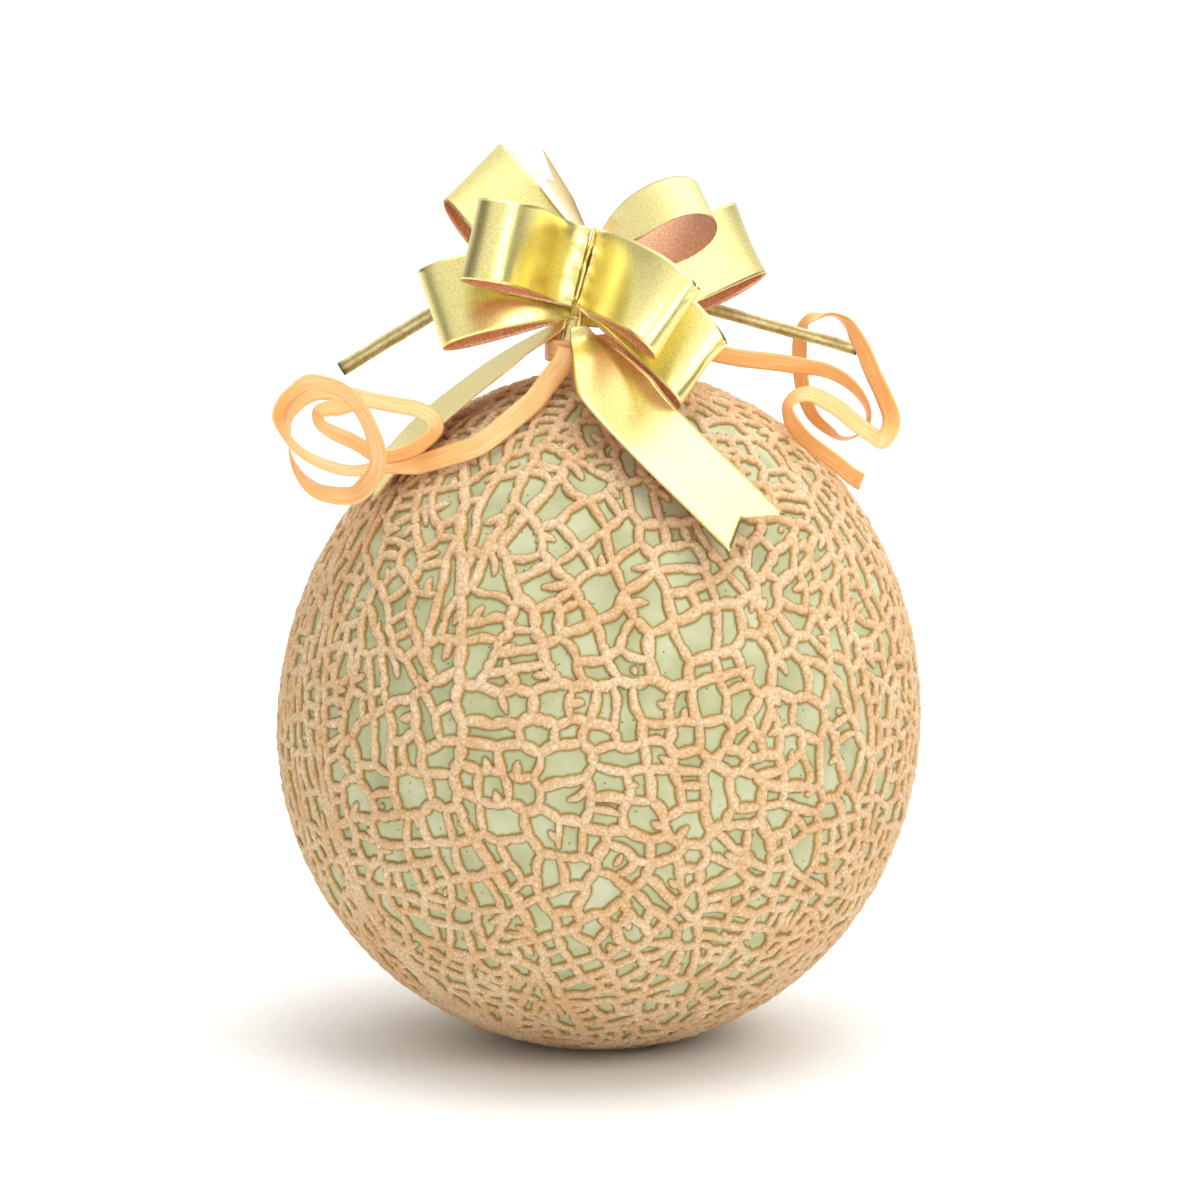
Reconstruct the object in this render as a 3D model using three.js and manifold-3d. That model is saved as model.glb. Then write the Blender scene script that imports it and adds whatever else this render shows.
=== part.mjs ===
// Cantaloupe melon with its T-shaped dry stem, a gold foil bow and a curled orange ribbon.
// Millimetres, +Z up. The origin is the centre of the flat spot that the melon rests on,
// and +Y points away from the side that the bow faces.

import * as THREE from 'three';
import Module from 'manifold-3d';

const wasm = await Module();
wasm.setup();

// Melon: a body of revolution about an axis that leans toward +X, a little longer than wide
const MELON_RADIUS = 77.5;          // mean radius of the smooth rind
const MELON_CENTRE_HEIGHT = 79.1;   // centre of the body above the resting spot
const MELON_LEAN = 9.5;             // degrees
const MELON_STRETCH = 0.043;        // how much longer it is along its axis
const MELON_TAPER = 0.0146;         // how much fuller the stem end is than the blossom end

// Corky net raised from the rind
const NET_SEED = 20;
const NET_GORES = 8;                // long cords that run from the stem to the blossom end
const NET_ROWS = 9;                 // bends in each of them
const NET_WANDER = 0.26;            // how far a long cord strays, as a share of a gore
const NET_RING_WANDER = 0.1;
const NET_ROW_WANDER = 0.05;        // the same along the cord, in radians
const NET_SPIRAL = 0.03;            // share of a gore that a long cord turns from row to row
const NET_CELL_AREA = 166;          // mm2, mean size of a mesh of the net
const NET_CELL_LEAST = 0.8;         // share of that size below which a mesh is left whole
const NET_CELL_SPREAD = 0.75;       // and how much larger than that share some are left
const NET_SHORTEST_CORD = 3.0;
const NET_TRIES = 90;               // random cords tried across a mesh before the best is kept
const NET_FAIR_SHARE = 0.4;         // a cord that leaves less than this on one side scores worse
const NET_LEAST_SHARE = 0.22;       // and below this it isn't used
const NET_UNEVEN_COST = 6;
const NET_SLANT_COST = 0.25;        // the lower, the squarer the cords meet
const NET_PULL = 0.3;               // how far cords pull one another into line, in each pass
const NET_PULL_PASSES = 2;
const NET_HEIGHT = 1.7;             // cords stand between 0.8 and 1.2 of this above the rind
const NET_HALF_WIDTH = 1.6;
const NET_SHARPEST_FOOT = 0.55;     // keeps the feet near the corners of narrow meshes
const RIND_DOME = 0.15;             // rise of the rind in the middle of a mesh
const STEM_RING_RADIUS = 7.5;       // ring of cork where the stem grows out
const BLOSSOM_RING_RADIUS = 8;
const FLAT_BLOCK = [100, 100, 20];  // block that cuts the small flat spot underneath

// Stem: a stalk from the melon to the short length of vine left across its top
const STALK_BASE = [-7, 11];        // x and y where it grows out of the melon
const VINE_JOINT = new THREE.Vector3(-14, 20, 187.7);
const VINE_LEFT_END = new THREE.Vector3(-62.5, 18, 160);
const VINE_RIGHT_END = new THREE.Vector3(62, 16, 165);
const VINE_DIAMETER = 3.1;
const VINE_SWELL = 0.9;             // extra radius at the joint
const VINE_SWELL_LENGTH = 5;
const VINE_THINNING = 0.25;         // radius lost toward the right end
const VINE_SAG = 0.8;               // how far the two arms bow from straight lines
const VINE_RIBS = 5;
const VINE_RIB_DEPTH = 0.16;        // depth of the furrows as a share of the radius
const VINE_STEPS = 16;
const STALK_RADII = [4.9, 4.2, 3.3, 2.9, 2.7, 2.6, 2.6, 2.7, 2.9, 2.6];
const STALK_STRAIGHT = 11;          // length that grows straight out of the melon
const STALK_CLEARANCE = 0.6;
const STALK_RIBS = 6;
const STALK_RIB_DEPTH = 0.12;

// Bow of foil ribbon: seven loops and three tails, gathered at one upright pinch
const RIBBON_WIDTH = 19.5;
const RIBBON_THICKNESS = 0.8;
const LAYER_SPREAD = 1.2;           // between the two layers of a loop where they meet
const PINCH_CENTRE = new THREE.Vector3(-3.5, -9.5, 184.5);
const PINCH_DEPTH = 18.6;           // the stacked layers, front to back
const PINCH_HALF_WIDTH = 1.0;
const PINCH_ROUNDING = 2.2;
const NECK_LENGTH = 7;              // gathered neck below the pinch
const NECK_HALF_WIDTH = 1.3;
const NECK_HALF_DEPTH = 1.8;
const GAP = 0.3;                    // clearance between pieces that touch

// Curling ribbon that ties the bow to the stalk
const CURL_WIDTH = 5;
const CURL_THICKNESS = 0.6;

// Small tools: seeded random numbers, lofted solids, booleans

function seededRandom(seed) {
  let state = seed;
  return () => {
    state = (state * 1664525 + 1013904223) % 4294967296;
    return state / 4294967296;
  };
}

function solid(points, triangles) {
  const geometry = new THREE.BufferGeometry();
  const flat = points.flatMap((point) => [point.x, point.y, point.z]);
  geometry.setAttribute('position', new THREE.Float32BufferAttribute(flat, 3));
  geometry.setIndex(triangles.flat());
  return geometry;
}

// A closed body through rings of points; every ring runs the same way round
function loft(rings, closed = false) {
  const sides = rings[0].length;
  const triangles = [];
  const steps = closed ? rings.length : rings.length - 1;
  for (let i = 0; i < steps; i += 1) {
    const here = i * sides;
    const next = ((i + 1) % rings.length) * sides;
    for (let k = 0; k < sides; k += 1) {
      const l = (k + 1) % sides;
      triangles.push([here + k, here + l, next + l], [here + k, next + l, next + k]);
    }
  }
  if (!closed) {
    const last = (rings.length - 1) * sides;
    for (let k = 1; k < sides - 1; k += 1) {
      triangles.push([0, k + 1, k], [last, last + k, last + k + 1]);
    }
  }
  return solid(rings.flat(), triangles);
}

// A strip of ribbon: at each station its centre, its width direction, its heading and the
// share of its full width that it has there
function strip(stations, width, thickness, closed = false) {
  const rings = stations.map(({ centre, across, heading, share = 1 }) => {
    const side = across.clone().addScaledVector(heading, -across.dot(heading)).normalize();
    const normal = new THREE.Vector3().crossVectors(heading, side);
    const corner = (a, b) => centre.clone().addScaledVector(side, (a * share * width) / 2)
      .addScaledVector(normal, (b * thickness) / 2);
    return [corner(-1, -1), corner(1, -1), corner(1, 1), corner(-1, 1)];
  });
  return loft(rings, closed);
}

function headings(points, closed = false) {
  const n = points.length;
  return points.map((point, i) => {
    const before = closed ? points[(i + n - 1) % n] : points[Math.max(i - 1, 0)];
    const after = closed ? points[(i + 1) % n] : points[Math.min(i + 1, n - 1)];
    return new THREE.Vector3().subVectors(after, before).normalize();
  });
}

function toManifold(geometry) {
  return new wasm.Manifold(new wasm.Mesh({
    numProp: 3,
    vertProperties: new Float32Array(geometry.getAttribute('position').array),
    triVerts: new Uint32Array(geometry.getIndex().array),
  }));
}

function fromManifold(body) {
  const mesh = body.getMesh();
  const geometry = new THREE.BufferGeometry();
  geometry.setAttribute('position', new THREE.Float32BufferAttribute(mesh.vertProperties, 3));
  geometry.setIndex([...mesh.triVerts]);
  return geometry;
}

// A block whose top is at a height, with its corners shared so that it is one closed body
function boxBelow(height) {
  const box = new THREE.BoxGeometry(...FLAT_BLOCK);
  box.translate(0, 0, height - FLAT_BLOCK[2] / 2);
  const corners = [];
  const seen = new Map();
  const position = box.getAttribute('position');
  const triangles = [...box.getIndex().array].map((i) => {
    const corner = new THREE.Vector3().fromBufferAttribute(position, i);
    const key = corner.toArray().join();
    if (!seen.has(key)) {
      seen.set(key, corners.length);
      corners.push(corner);
    }
    return seen.get(key);
  });
  return solid(corners, triangles);
}

const bodyAxis = new THREE.Vector3(Math.sin(THREE.MathUtils.degToRad(MELON_LEAN)), 0,
  Math.cos(THREE.MathUtils.degToRad(MELON_LEAN)));
const bodyCentre = new THREE.Vector3(0, 0, MELON_CENTRE_HEIGHT);

// Distance from the melon's centre to its rind in a direction
function rindRadius(direction) {
  const c = direction.dot(bodyAxis);
  const stretch = MELON_STRETCH * (1.5 * c * c - 0.5);
  const taper = MELON_TAPER * (2.5 * c ** 3 - 1.5 * c);
  return MELON_RADIUS * (1 + stretch + taper);
}

function onMelon(direction, height) {
  return bodyCentre.clone().addScaledVector(direction, rindRadius(direction) + height);
}

// Moves a point straight out from the melon until it is clear of the net
function clearOfMelon(point, clearance) {
  const direction = point.clone().sub(bodyCentre);
  const distance = direction.length();
  direction.normalize();
  return onMelon(direction, Math.max(clearance, distance - rindRadius(direction)));
}

// Height of the rind above a place on the upper half
function rindTop(x, y) {
  let z = MELON_CENTRE_HEIGHT + MELON_RADIUS;
  for (let i = 0; i < 20; i += 1) {
    const direction = new THREE.Vector3(x, y, z - MELON_CENTRE_HEIGHT).normalize();
    const radius = rindRadius(direction);
    z = MELON_CENTRE_HEIGHT + Math.sqrt(radius * radius - x * x - y * y);
  }
  return z;
}

const stalkFoot = new THREE.Vector3(STALK_BASE[0], STALK_BASE[1], rindTop(...STALK_BASE));
const stalkDirection = stalkFoot.clone().sub(bodyCentre).normalize();

// Net: the sphere of directions is cut into long gores from the stem to the blossom end, and
// each gore is cut again and again by shorter cords, as the cork grows in the cracks of the rind

function buildNet() {
  const random = seededRandom(NET_SEED);
  const turn = new THREE.Quaternion().setFromUnitVectors(new THREE.Vector3(0, 0, 1), stalkDirection);
  const nodes = [];
  const faces = [];
  const faceOfEdge = new Map();
  const edgeKey = (a, b) => `${a}_${b}`;
  const addNode = (vector) => nodes.push(vector.clone().normalize()) - 1;
  const addFace = (loop) => {
    const face = faces.push(loop) - 1;
    loop.forEach((a, i) => faceOfEdge.set(edgeKey(a, loop[(i + 1) % loop.length]), face));
    return face;
  };

  // The first cords: rings at both ends joined by gores whose sides wander a little
  const firstRow = STEM_RING_RADIUS / MELON_RADIUS;
  const lastRow = Math.PI - BLOSSOM_RING_RADIUS / MELON_RADIUS;
  const rows = Array.from({ length: NET_ROWS }, (_, row) => (
    firstRow + ((lastRow - firstRow) * row) / (NET_ROWS - 1)));
  const grid = rows.map((polar, row) => Array.from({ length: NET_GORES }, (_, gore) => {
    const isRing = row === 0 || row === rows.length - 1;
    const wander = isRing ? NET_RING_WANDER : NET_WANDER;
    const gores = gore + NET_SPIRAL * row + wander * (random() - 0.5);
    const angle = (gores * 2 * Math.PI) / NET_GORES;
    const tilt = polar + (isRing ? 0 : NET_ROW_WANDER * (random() - 0.5));
    const direction = new THREE.Vector3().setFromSphericalCoords(1, tilt, angle);
    direction.set(direction.z, direction.x, direction.y);
    return addNode(direction.applyQuaternion(turn));
  }));
  addFace([...grid[0]]);
  addFace([...grid[rows.length - 1]].reverse());
  for (let gore = 0; gore < NET_GORES; gore += 1) {
    const next = (gore + 1) % NET_GORES;
    const down = grid.map((ring) => ring[gore]);
    const up = grid.map((ring) => ring[next]).reverse();
    addFace([...down, ...up]);
  }

  const middle = (loop) => loop.reduce((sum, i) => sum.add(nodes[i]), new THREE.Vector3()).normalize();
  const area = (loop) => {
    const hub = middle(loop);
    const twice = loop.reduce((sum, a, i) => {
      const spoke = nodes[a].clone().sub(hub);
      const nextSpoke = nodes[loop[(i + 1) % loop.length]].clone().sub(hub);
      return sum + spoke.cross(nextSpoke).dot(hub);
    }, 0);
    return (twice / 2) * MELON_RADIUS * MELON_RADIUS;
  };

  // Puts a new node in the middle third of the side that leaves corner i of a face, for both
  // faces that share it
  function cutSide(face, i) {
    const loop = faces[face];
    const a = loop[i];
    const b = loop[(i + 1) % loop.length];
    const along = (1 + random()) / 3;
    const cut = addNode(nodes[a].clone().lerp(nodes[b], along));
    const other = faceOfEdge.get(edgeKey(b, a));
    loop.splice(i + 1, 0, cut);
    faces[other].splice(faces[other].indexOf(b) + 1, 0, cut);
    faceOfEdge.set(edgeKey(a, cut), face);
    faceOfEdge.set(edgeKey(cut, b), face);
    faceOfEdge.set(edgeKey(b, cut), other);
    faceOfEdge.set(edgeKey(cut, a), other);
    return cut;
  }

  // The best of some random cords across a face: short, and leaving two fair halves
  function bestCord(loop, shortest) {
    const whole = area(loop);
    let best = null;
    for (let attempt = 0; attempt < NET_TRIES; attempt += 1) {
      const i = Math.floor(random() * loop.length);
      const j = Math.floor(random() * loop.length);
      const low = Math.min(i, j);
      const high = Math.max(i, j);
      const ends = [low, high].map((k) => [nodes[loop[k]], nodes[loop[(k + 1) % loop.length]]]);
      const longEnough = ends.every(([a, b]) => a.distanceTo(b) * MELON_RADIUS > 2 * shortest);
      if (high - low > 0 && longEnough) {
        const [from, to] = ends.map(([a, b]) => a.clone().lerp(b, 0.5).normalize());
        const half = loop.slice(low + 1, high + 1).map((k) => nodes[k]);
        const part = [from, ...half, to];
        const hub = part.reduce((sum, p) => sum.add(p), new THREE.Vector3()).normalize();
        const piece = part.reduce((sum, p, k) => {
          const q = part[(k + 1) % part.length];
          return sum + p.clone().sub(hub).cross(q.clone().sub(hub)).dot(hub);
        }, 0) * 0.5 * MELON_RADIUS * MELON_RADIUS;
        const share = Math.min(piece, whole - piece) / whole;
        const way = to.clone().sub(from).normalize();
        const squareness = NET_SLANT_COST + ends.reduce((least, [a, b]) => (
          Math.min(least, 1 - Math.abs(b.clone().sub(a).normalize().dot(way)))), 1);
        const unevenness = 1 + NET_UNEVEN_COST * Math.max(0, NET_FAIR_SHARE - share);
        const score = (from.distanceTo(to) * unevenness) / squareness;
        const isBetter = !best || score < best.score;
        if (share > NET_LEAST_SHARE && isBetter) best = { low, high, score };
      }
    }
    return best;
  }

  function divide(face) {
    const loop = faces[face];
    const wanted = NET_CELL_AREA * (NET_CELL_LEAST + NET_CELL_SPREAD * random());
    if (area(loop) < wanted) return;
    const cord = bestCord(loop, NET_SHORTEST_CORD) ?? bestCord(loop, NET_SHORTEST_CORD / 2);
    if (!cord) return;
    const end = cutSide(face, cord.high);
    const start = cutSide(face, cord.low);
    const from = loop.indexOf(start);
    const to = loop.indexOf(end);
    const half = loop.slice(from, to + 1);
    const rest = [...loop.slice(to), ...loop.slice(0, from + 1)];
    faces[face] = half;
    half.forEach((a, i) => faceOfEdge.set(edgeKey(a, half[(i + 1) % half.length]), face));
    const second = addFace(rest);
    divide(face);
    divide(second);
  }
  const undivided = faces.length;
  for (let face = 2; face < undivided; face += 1) divide(face);

  // Cords pull one another a little out of line where they meet
  const neighbours = nodes.map(() => []);
  faces.forEach((loop) => loop.forEach((a, i) => neighbours[a].push(loop[(i + 1) % loop.length])));
  const rings = new Set([...grid[0], ...grid[rows.length - 1]]);
  for (let pass = 0; pass < NET_PULL_PASSES; pass += 1) {
    const pulled = nodes.map((node, i) => {
      if (rings.has(i)) return node;
      const mean = neighbours[i].reduce((sum, k) => sum.add(nodes[k]), new THREE.Vector3());
      return node.clone().lerp(mean.divideScalar(neighbours[i].length), NET_PULL).normalize();
    });
    pulled.forEach((node, i) => nodes[i].copy(node));
  }

  // Every mesh of the net: a crest shared with its neighbours, a foot inside it and a hub
  const crest = nodes.map((node) => onMelon(node, NET_HEIGHT * (0.8 + 0.4 * random())));
  const points = [...crest];
  const triangles = [];
  faces.forEach((loop) => {
    const hub = middle(loop);
    const n = loop.length;
    const inward = loop.map((a, i) => {
      const side = nodes[loop[(i + 1) % n]].clone().sub(nodes[a]);
      return hub.clone().cross(side).normalize();
    });
    const feet = loop.map((a, i) => {
      const before = inward[(i + n - 1) % n];
      const bisector = before.clone().add(inward[i]).normalize();
      const reach = NET_HALF_WIDTH / MELON_RADIUS / Math.max(NET_SHARPEST_FOOT, bisector.dot(before));
      const room = nodes[a].distanceTo(hub);
      const moved = nodes[a].clone().addScaledVector(bisector, Math.min(reach, room / 2));
      return points.push(onMelon(moved.normalize(), 0)) - 1;
    });
    const centre = points.push(onMelon(hub, RIND_DOME)) - 1;
    loop.forEach((a, i) => {
      const j = (i + 1) % n;
      triangles.push([a, loop[j], feet[j]], [a, feet[j], feet[i]], [feet[i], feet[j], centre]);
    });
  });
  return solid(points, triangles);
}

function melon() {
  return fromManifold(toManifold(buildNet()).subtract(toManifold(boxBelow(0))));
}

// Stem: ribbed sections that swell at the melon and at the joint

function ribbedSection(centre, heading, radius, ribs, depth) {
  const side = new THREE.Vector3(0, 1, 0).cross(heading).normalize();
  const up = new THREE.Vector3().crossVectors(heading, side);
  return Array.from({ length: 2 * ribs }, (_, k) => {
    const angle = (k * Math.PI) / ribs;
    const reach = radius * (k % 2 ? 1 - depth : 1);
    return centre.clone().addScaledVector(side, reach * Math.cos(angle))
      .addScaledVector(up, reach * Math.sin(angle));
  });
}

function stalk() {
  const foot = stalkFoot.clone().addScaledVector(stalkDirection, STALK_CLEARANCE);
  const bend = foot.clone().addScaledVector(stalkDirection, STALK_STRAIGHT);
  const path = new THREE.CatmullRomCurve3([foot, bend, VINE_JOINT.clone()]);
  const points = path.getPoints(STALK_RADII.length - 1);
  const ways = headings(points);
  return loft(points.map((point, i) => (
    ribbedSection(point, ways[i], STALK_RADII[i], STALK_RIBS, STALK_RIB_DEPTH))));
}

function vine() {
  const points = [
    VINE_LEFT_END,
    VINE_LEFT_END.clone().lerp(VINE_JOINT, 0.5).add(new THREE.Vector3(0, 0, VINE_SAG)),
    VINE_LEFT_END.clone().lerp(VINE_JOINT, 0.9),
    VINE_JOINT,
    VINE_RIGHT_END.clone().lerp(VINE_JOINT, 0.9),
    VINE_RIGHT_END.clone().lerp(VINE_JOINT, 0.5).add(new THREE.Vector3(0, 0, -VINE_SAG)),
    VINE_RIGHT_END,
  ];
  const path = new THREE.CatmullRomCurve3(points);
  const stations = path.getPoints(VINE_STEPS);
  const ways = headings(stations);
  const joint = VINE_JOINT.x;
  return loft(stations.map((point, i) => {
    const swell = VINE_SWELL * Math.exp(-(((point.x - joint) / VINE_SWELL_LENGTH) ** 2));
    const thin = VINE_THINNING * Math.max(0, (point.x - joint) / (VINE_RIGHT_END.x - joint));
    const radius = VINE_DIAMETER / 2 + swell - thin;
    return ribbedSection(point, ways[i], radius, VINE_RIBS, VINE_RIB_DEPTH);
  }));
}

function stem() {
  return fromManifold(toManifold(stalk()).add(toManifold(vine())));
}

// Bow. The pinch leans back and to the right; all loops start on its sides.

const pinchUp = new THREE.Vector3(0.243, 0.308, 0.918).normalize();
const pinchFront = new THREE.Vector3(0, -0.948, 0.318).normalize();
const pinchSide = new THREE.Vector3().crossVectors(pinchUp, pinchFront).normalize();

// layer: how far in front of the pinch's middle the loop starts
// end: middle of its round end; across: the ribbon's width direction there
// bulge: distance between its two layers where it is fullest
// arch: how far it runs sideways before it turns to its end, as a share of its length
// twist: how late the ribbon turns to the width direction of its end; 0 keeps that all along
// rise: how far above the pinch's middle the loop starts, where that isn't 0
// gathered: the share of its width that it starts with, where that isn't all of it
const LOOPS = [
  {
    name: 'bow_loop_front_left',
    layer: 7, end: [-26, -40, 194.9], across: [4, 6, 17.6], bulge: 13.5, arch: 0.38, twist: 0.8,
  },
  {
    name: 'bow_loop_front_right',
    layer: 8, end: [16.6, -46.3, 177.5], across: [10.2, 9, 13.8], bulge: 10.4, arch: 0.15, twist: 1.7,
  },
  {
    name: 'bow_loop_low_left',
    layer: 1.5, rise: -1.7, end: [-39.4, -18.6, 177.2], across: [-6.1, 6.5, 18.1],
    bulge: 10.3, arch: 0.12, twist: 1.74,
  },
  {
    name: 'bow_loop_low_right',
    layer: 4.8, end: [23.3, -32.8, 163.7], across: [10.6, 10.5, 15.3], bulge: 7.5, arch: 0.18,
    twist: 2.1,
  },
  {
    name: 'bow_loop_high_left',
    layer: -7.5, end: [-30.8, 11.3, 207.1], across: [12.7, 7.5, 12.7], bulge: 12.3, arch: 0.2, twist: 1,
  },
  {
    name: 'bow_loop_high_right',
    layer: -4.6, rise: 8, gathered: 0.24, end: [25.3, -0.8, 200.9], across: [-3.3, 14.9, 6.7],
    bulge: 11, arch: 0.06, twist: 0,
  },
  {
    name: 'bow_loop_back_right',
    layer: -9.1, end: [35.9, 26.9, 190.3], across: [-7, 10.7, 16.7], bulge: 9, arch: 0.25,
    twist: 0.38,
  },
];
const LOOP_STEPS = 26;
const LOOP_OPENING = 0.34;          // how far round the teardrop its two ends start
const TEARDROP_POWER = 3.2;         // how long its two layers stay close together
const TEARDROP_FULLNESS = 1.786;    // brings the outline to its full bulge
const LOOP_OPENED = 0.6;            // share of its length at which a gathered loop has its full width

function loopRoot(layer, rise, isRight) {
  const out = (isRight ? 1 : -1) * (PINCH_HALF_WIDTH + GAP + RIBBON_THICKNESS);
  return PINCH_CENTRE.clone().addScaledVector(pinchFront, layer)
    .addScaledVector(pinchUp, rise).addScaledVector(pinchSide, out);
}

// A teardrop outline laid along an arched line that leaves the pinch sideways; its width turns
// from the pinch to the round end
function bowLoop({ layer, rise = 0, gathered = 1, end, across, bulge, arch, twist }) {
  const tip = new THREE.Vector3(...end);
  const isRight = tip.x > PINCH_CENTRE.x;
  const root = loopRoot(layer, rise, isRight);
  const shoulder = root.clone()
    .addScaledVector(pinchSide, (isRight ? 1 : -1) * arch * root.distanceTo(tip));
  const spine = new THREE.QuadraticBezierCurve3(root, shoulder, tip);
  const endAcross = new THREE.Vector3(...across).normalize();
  const points = [];
  const widths = [];
  const shares = [];
  for (let i = 0; i <= LOOP_STEPS; i += 1) {
    const angle = LOOP_OPENING + ((2 * Math.PI - 2 * LOOP_OPENING) * i) / LOOP_STEPS;
    const start = (1 - Math.cos(LOOP_OPENING)) / 2;
    const reach = ((1 - Math.cos(angle)) / 2 - start) / (1 - start);
    const swing = TEARDROP_FULLNESS * Math.sin(angle) * Math.sin(angle / 2) ** TEARDROP_POWER;
    const apart = (LAYER_SPREAD * Math.cos(angle / 2) + swing * bulge) / 2;
    const width = pinchUp.clone().lerp(endAcross, reach ** twist).normalize();
    const normal = new THREE.Vector3().crossVectors(spine.getTangent(reach), width).normalize();
    points.push(spine.getPoint(reach).addScaledVector(normal, apart));
    widths.push(width);
    shares.push(gathered + (1 - gathered) * Math.min(1, reach / LOOP_OPENED));
  }
  const ways = headings(points);
  const stations = points.map((centre, i) => ({
    centre,
    across: widths[i],
    heading: ways[i],
    share: shares[i],
  }));
  return strip(stations, RIBBON_WIDTH, RIBBON_THICKNESS);
}

// The gathered middle of the bow, a narrow upright block of stacked folds above a thin neck that
// the tie holds
function bowPinch() {
  const section = (height, halfWidth, halfDepth) => [[-1, -1], [1, -1], [1, 1], [-1, 1]]
    .map(([a, b]) => PINCH_CENTRE.clone().addScaledVector(pinchUp, height)
      .addScaledVector(pinchSide, a * halfWidth).addScaledVector(pinchFront, -b * halfDepth));
  const half = RIBBON_WIDTH / 2;
  const depth = PINCH_DEPTH / 2;
  return loft([
    section(-half - NECK_LENGTH, NECK_HALF_WIDTH, NECK_HALF_DEPTH),
    section(-half - NECK_LENGTH / 2, NECK_HALF_WIDTH, NECK_HALF_DEPTH),
    section(-half, PINCH_HALF_WIDTH, depth - PINCH_ROUNDING),
    section(-half + PINCH_ROUNDING, PINCH_HALF_WIDTH, depth),
    section(half - PINCH_ROUNDING, PINCH_HALF_WIDTH, depth),
    section(half, PINCH_HALF_WIDTH, depth - PINCH_ROUNDING),
  ]);
}

// Tails: flat ribbon along a smooth path, ending in a swallow tail. A tail that has no width
// direction for its end lies on the melon.
function tail({ path, rootAcross, endAcross }) {
  const curve = new THREE.CatmullRomCurve3(path.map((point) => new THREE.Vector3(...point)));
  const points = curve.getSpacedPoints(TAIL_STEPS)
    .map((point) => clearOfMelon(point, TAIL_CLEARANCE));
  const ways = headings(points);
  const first = new THREE.Vector3(...rootAcross).normalize();
  const stations = points.map((centre, i) => {
    const opened = Math.min(1, i / TAIL_GATHERED_STEPS);
    const lying = new THREE.Vector3().crossVectors(centre.clone().sub(bodyCentre), ways[i]).normalize();
    const last = endAcross ? new THREE.Vector3(...endAcross).normalize() : lying;
    return {
      centre,
      across: first.clone().lerp(last, opened),
      heading: ways[i],
      share: TAIL_ROOT_SHARE + (1 - TAIL_ROOT_SHARE) * opened,
    };
  });
  const body = toManifold(strip(stations, RIBBON_WIDTH, RIBBON_THICKNESS));
  const last = stations[stations.length - 1];
  const normal = new THREE.Vector3().crossVectors(last.heading, last.across).normalize();
  const side = new THREE.Vector3().crossVectors(normal, last.heading);
  const corners = [[0, -TAIL_NOTCH], [WEDGE_MOUTH, WEDGE_PAST], [-WEDGE_MOUTH, WEDGE_PAST]];
  const wedge = [WEDGE_REACH, -WEDGE_REACH].map((lift) => corners.map(([a, b]) => (
    last.centre.clone().addScaledVector(side, a).addScaledVector(last.heading, b)
      .addScaledVector(normal, lift))));
  return fromManifold(body.subtract(toManifold(loft(wedge))));
}

const TAIL_STEPS = 16;
const TAIL_CLEARANCE = 3.8;         // a straight ribbon's height over the rounded net
const TAIL_ROOT_SHARE = 0.2;        // a tail is gathered to this share of its width at the tie
const TAIL_GATHERED_STEPS = 5;
const TAIL_NOTCH = 5;               // depth of the swallow tail
const WEDGE_REACH = 3;              // how far the wedge that cuts it reaches through the ribbon
const WEDGE_MOUTH = 12;             // half its mouth, a little past the ribbon's edges
const WEDGE_PAST = 1.5;             // how far it reaches past the ribbon's end
const TAILS = [
  {
    name: 'bow_tail_front',
    path: [
      [-4.2, -19.5, 171], [-1, -27, 167], [5, -38, 159],
      [15, -48, 149], [26, -56, 139], [35.5, -61, 130],
    ],
    rootAcross: [1, 0.1, 0.3],
  },
  {
    name: 'bow_tail_left',
    path: [[-11, -13, 172.5], [-18, -12.5, 167.5], [-30, -13, 159], [-43, -16, 148], [-55, -20, 133]],
    rootAcross: [0.1, -0.95, -0.35],
  },
  {
    name: 'bow_tail_back',
    path: [[-3.2, 0.5, 194], [-6.4, 2.7, 199.1], [-9.7, 5, 204.3], [-13.2, 7.5, 209.7]],
    rootAcross: [0.08, 0.93, -0.36],
    endAcross: [0.08, 0.93, -0.36],
  },
];

// Curling ribbon. Each station is x, y, z and a roll in degrees: at 0 the ribbon is edge on to
// the front and at 90 its face looks to the front.

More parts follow.
